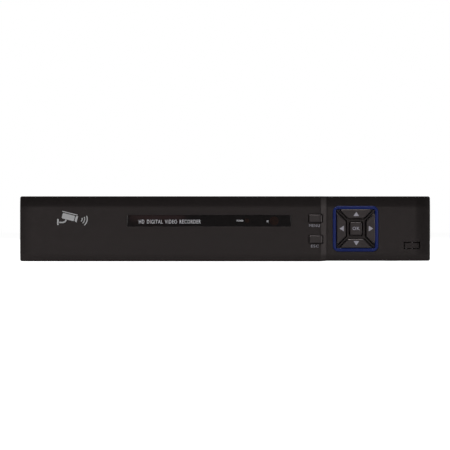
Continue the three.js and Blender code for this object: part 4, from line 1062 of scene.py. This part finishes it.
# ---- studio
def softbox(name, azimuth, elevation, reach, width, height, power, color=(1, 1, 1)):
    """A soft light aimed at the recorder's middle, azimuth degrees to the right of straight ahead."""
    a, e = math.radians(azimuth), math.radians(elevation)
    away = Vector((math.sin(a) * math.cos(e), -math.cos(a) * math.cos(e), math.sin(e)))
    data = bpy.data.lights.new(name, "AREA")
    data.shape, data.size, data.size_y = "RECTANGLE", width, height
    data.energy, data.color = power, color
    lamp = linked(name, data)
    lamp.location = Vector((0, 0, 0.03)) + away * reach
    lamp.rotation_euler = (-away).to_track_quat("-Z", "Y").to_euler()


def glow(mat, strength):
    """Adds plain white light that only the camera sees."""
    nodes, links = mat.node_tree.nodes, mat.node_tree.links
    shine = nodes.new("ShaderNodeEmission")
    shine.inputs["Strength"].default_value = strength
    seen, total = nodes.new("ShaderNodeMixShader"), nodes.new("ShaderNodeAddShader")
    links.new(nodes.new("ShaderNodeLightPath").outputs["Is Camera Ray"], seen.inputs[0])
    links.new(shine.outputs[0], seen.inputs[2])
    links.new(nodes["Principled BSDF"].outputs[0], total.inputs[0])
    links.new(seen.outputs[0], total.inputs[1])
    links.new(total.outputs[0], nodes["Material Output"].inputs["Surface"])


def studio_floor():
    """A pale floor that reads as white to the camera and keeps a soft shade under the recorder."""
    side = 6.0
    mesh = bpy.data.meshes.new("floor")
    corners = [(-side, -side, 0), (side, -side, 0), (side, side, 0), (-side, side, 0)]
    mesh.from_pydata(corners, [], [(0, 1, 2, 3)])
    paint = material("pale_floor", (0.55, 0.55, 0.55), 0.8, vary=0.02, blotch=3, bump=0.02)
    glow(paint, 0.96)
    mesh.materials.append(paint)
    floor = linked("floor", mesh)


def studio_world():
    """White to the camera, and a dim light on everything else."""
    world = bpy.data.worlds.new("studio")
    world.use_nodes = True
    nodes, links = world.node_tree.nodes, world.node_tree.links
    nodes.clear()
    seen, lit = nodes.new("ShaderNodeBackground"), nodes.new("ShaderNodeBackground")
    seen.inputs["Color"].default_value = (1, 1, 1, 1)
    lit.inputs["Color"].default_value = (0.94, 0.96, 1, 1)
    lit.inputs["Strength"].default_value = 0.03
    mix = nodes.new("ShaderNodeMixShader")
    links.new(nodes.new("ShaderNodeLightPath").outputs["Is Camera Ray"], mix.inputs[0])
    links.new(lit.outputs[0], mix.inputs[1])
    links.new(seen.outputs[0], mix.inputs[2])
    links.new(mix.outputs[0], nodes.new("ShaderNodeOutputWorld").inputs[0])
    bpy.context.scene.world = world


def studio_lights():
    softbox("front_left", -12, 2.6, 2.4, 0.22, 0.22, 1.35)
    softbox("front_right", 9.5, 2.6, 2.4, 0.34, 0.22, 1.38)
    softbox("warm_card", -5.13, 0.6, 1.83, 0.102, 0.026, 0.0029, (1, 0.5, 0.5))
    softbox("pale_card", -1, 0.2, 4.0, 1.4, 0.08, 0.014)
    softbox("upper_left", -90, 48, 1.6, 0.4, 0.5, 9)
    softbox("side_right", 72, 5, 2.0, 0.3, 0.5, 6.3)
    softbox("overhead", 0, 72, 0.72, 0.5, 0.16, 3.3)
    softbox("rear_left", -150, 30, 2.2, 0.9, 0.7, 12)
    softbox("rear_right", 160, 20, 2.2, 0.9, 0.5, 10)


def camera():
    """Level and square on, on a long lens: the front fills nine tenths of the width."""
    reach = 1.6
    filled, above_middle = 0.91067, 2.92
    data = bpy.data.cameras.new("camera")
    data.sensor_width = 36.0
    data.lens = data.sensor_width * reach / (WIDTH * MM / filled)
    data.clip_start, data.clip_end = 0.05, 30
    obj = linked("camera", data)
    obj.location = (0.0, FRONT * MM - reach, (LIFT + HEIGHT / 2 + above_middle) * MM)
    obj.rotation_euler = (math.pi / 2, 0, 0)
    bpy.context.scene.camera = obj
    bpy.context.scene.view_settings.view_transform = "Standard"
    bpy.context.scene.view_settings.look = "None"


camera()
studio_floor()
studio_world()
studio_lights()
bezel()
window()
light_ring()
pad_frame()
keys()
emblem()
front_marks()
for column, coax_x in enumerate(COAX_COLUMNS, 1):
    coax(f"coax_socket_lower_{column}", coax_x, 18.6, False)
    coax(f"coax_socket_upper_{column}", coax_x, 36.4, True)
phono_block()
vga()
hdmi()
network()
usb()
power_inlet()
rear_labels()
for side_name, side in (("left", -1), ("right", 1)):
    for end, end_y in CASE_ENDS:
        cover_screw(side_name, side, end, end_y)
        foot(side_name, side, end, end_y)
rear_screws()
drive_screws()
fan()
keep_cad()
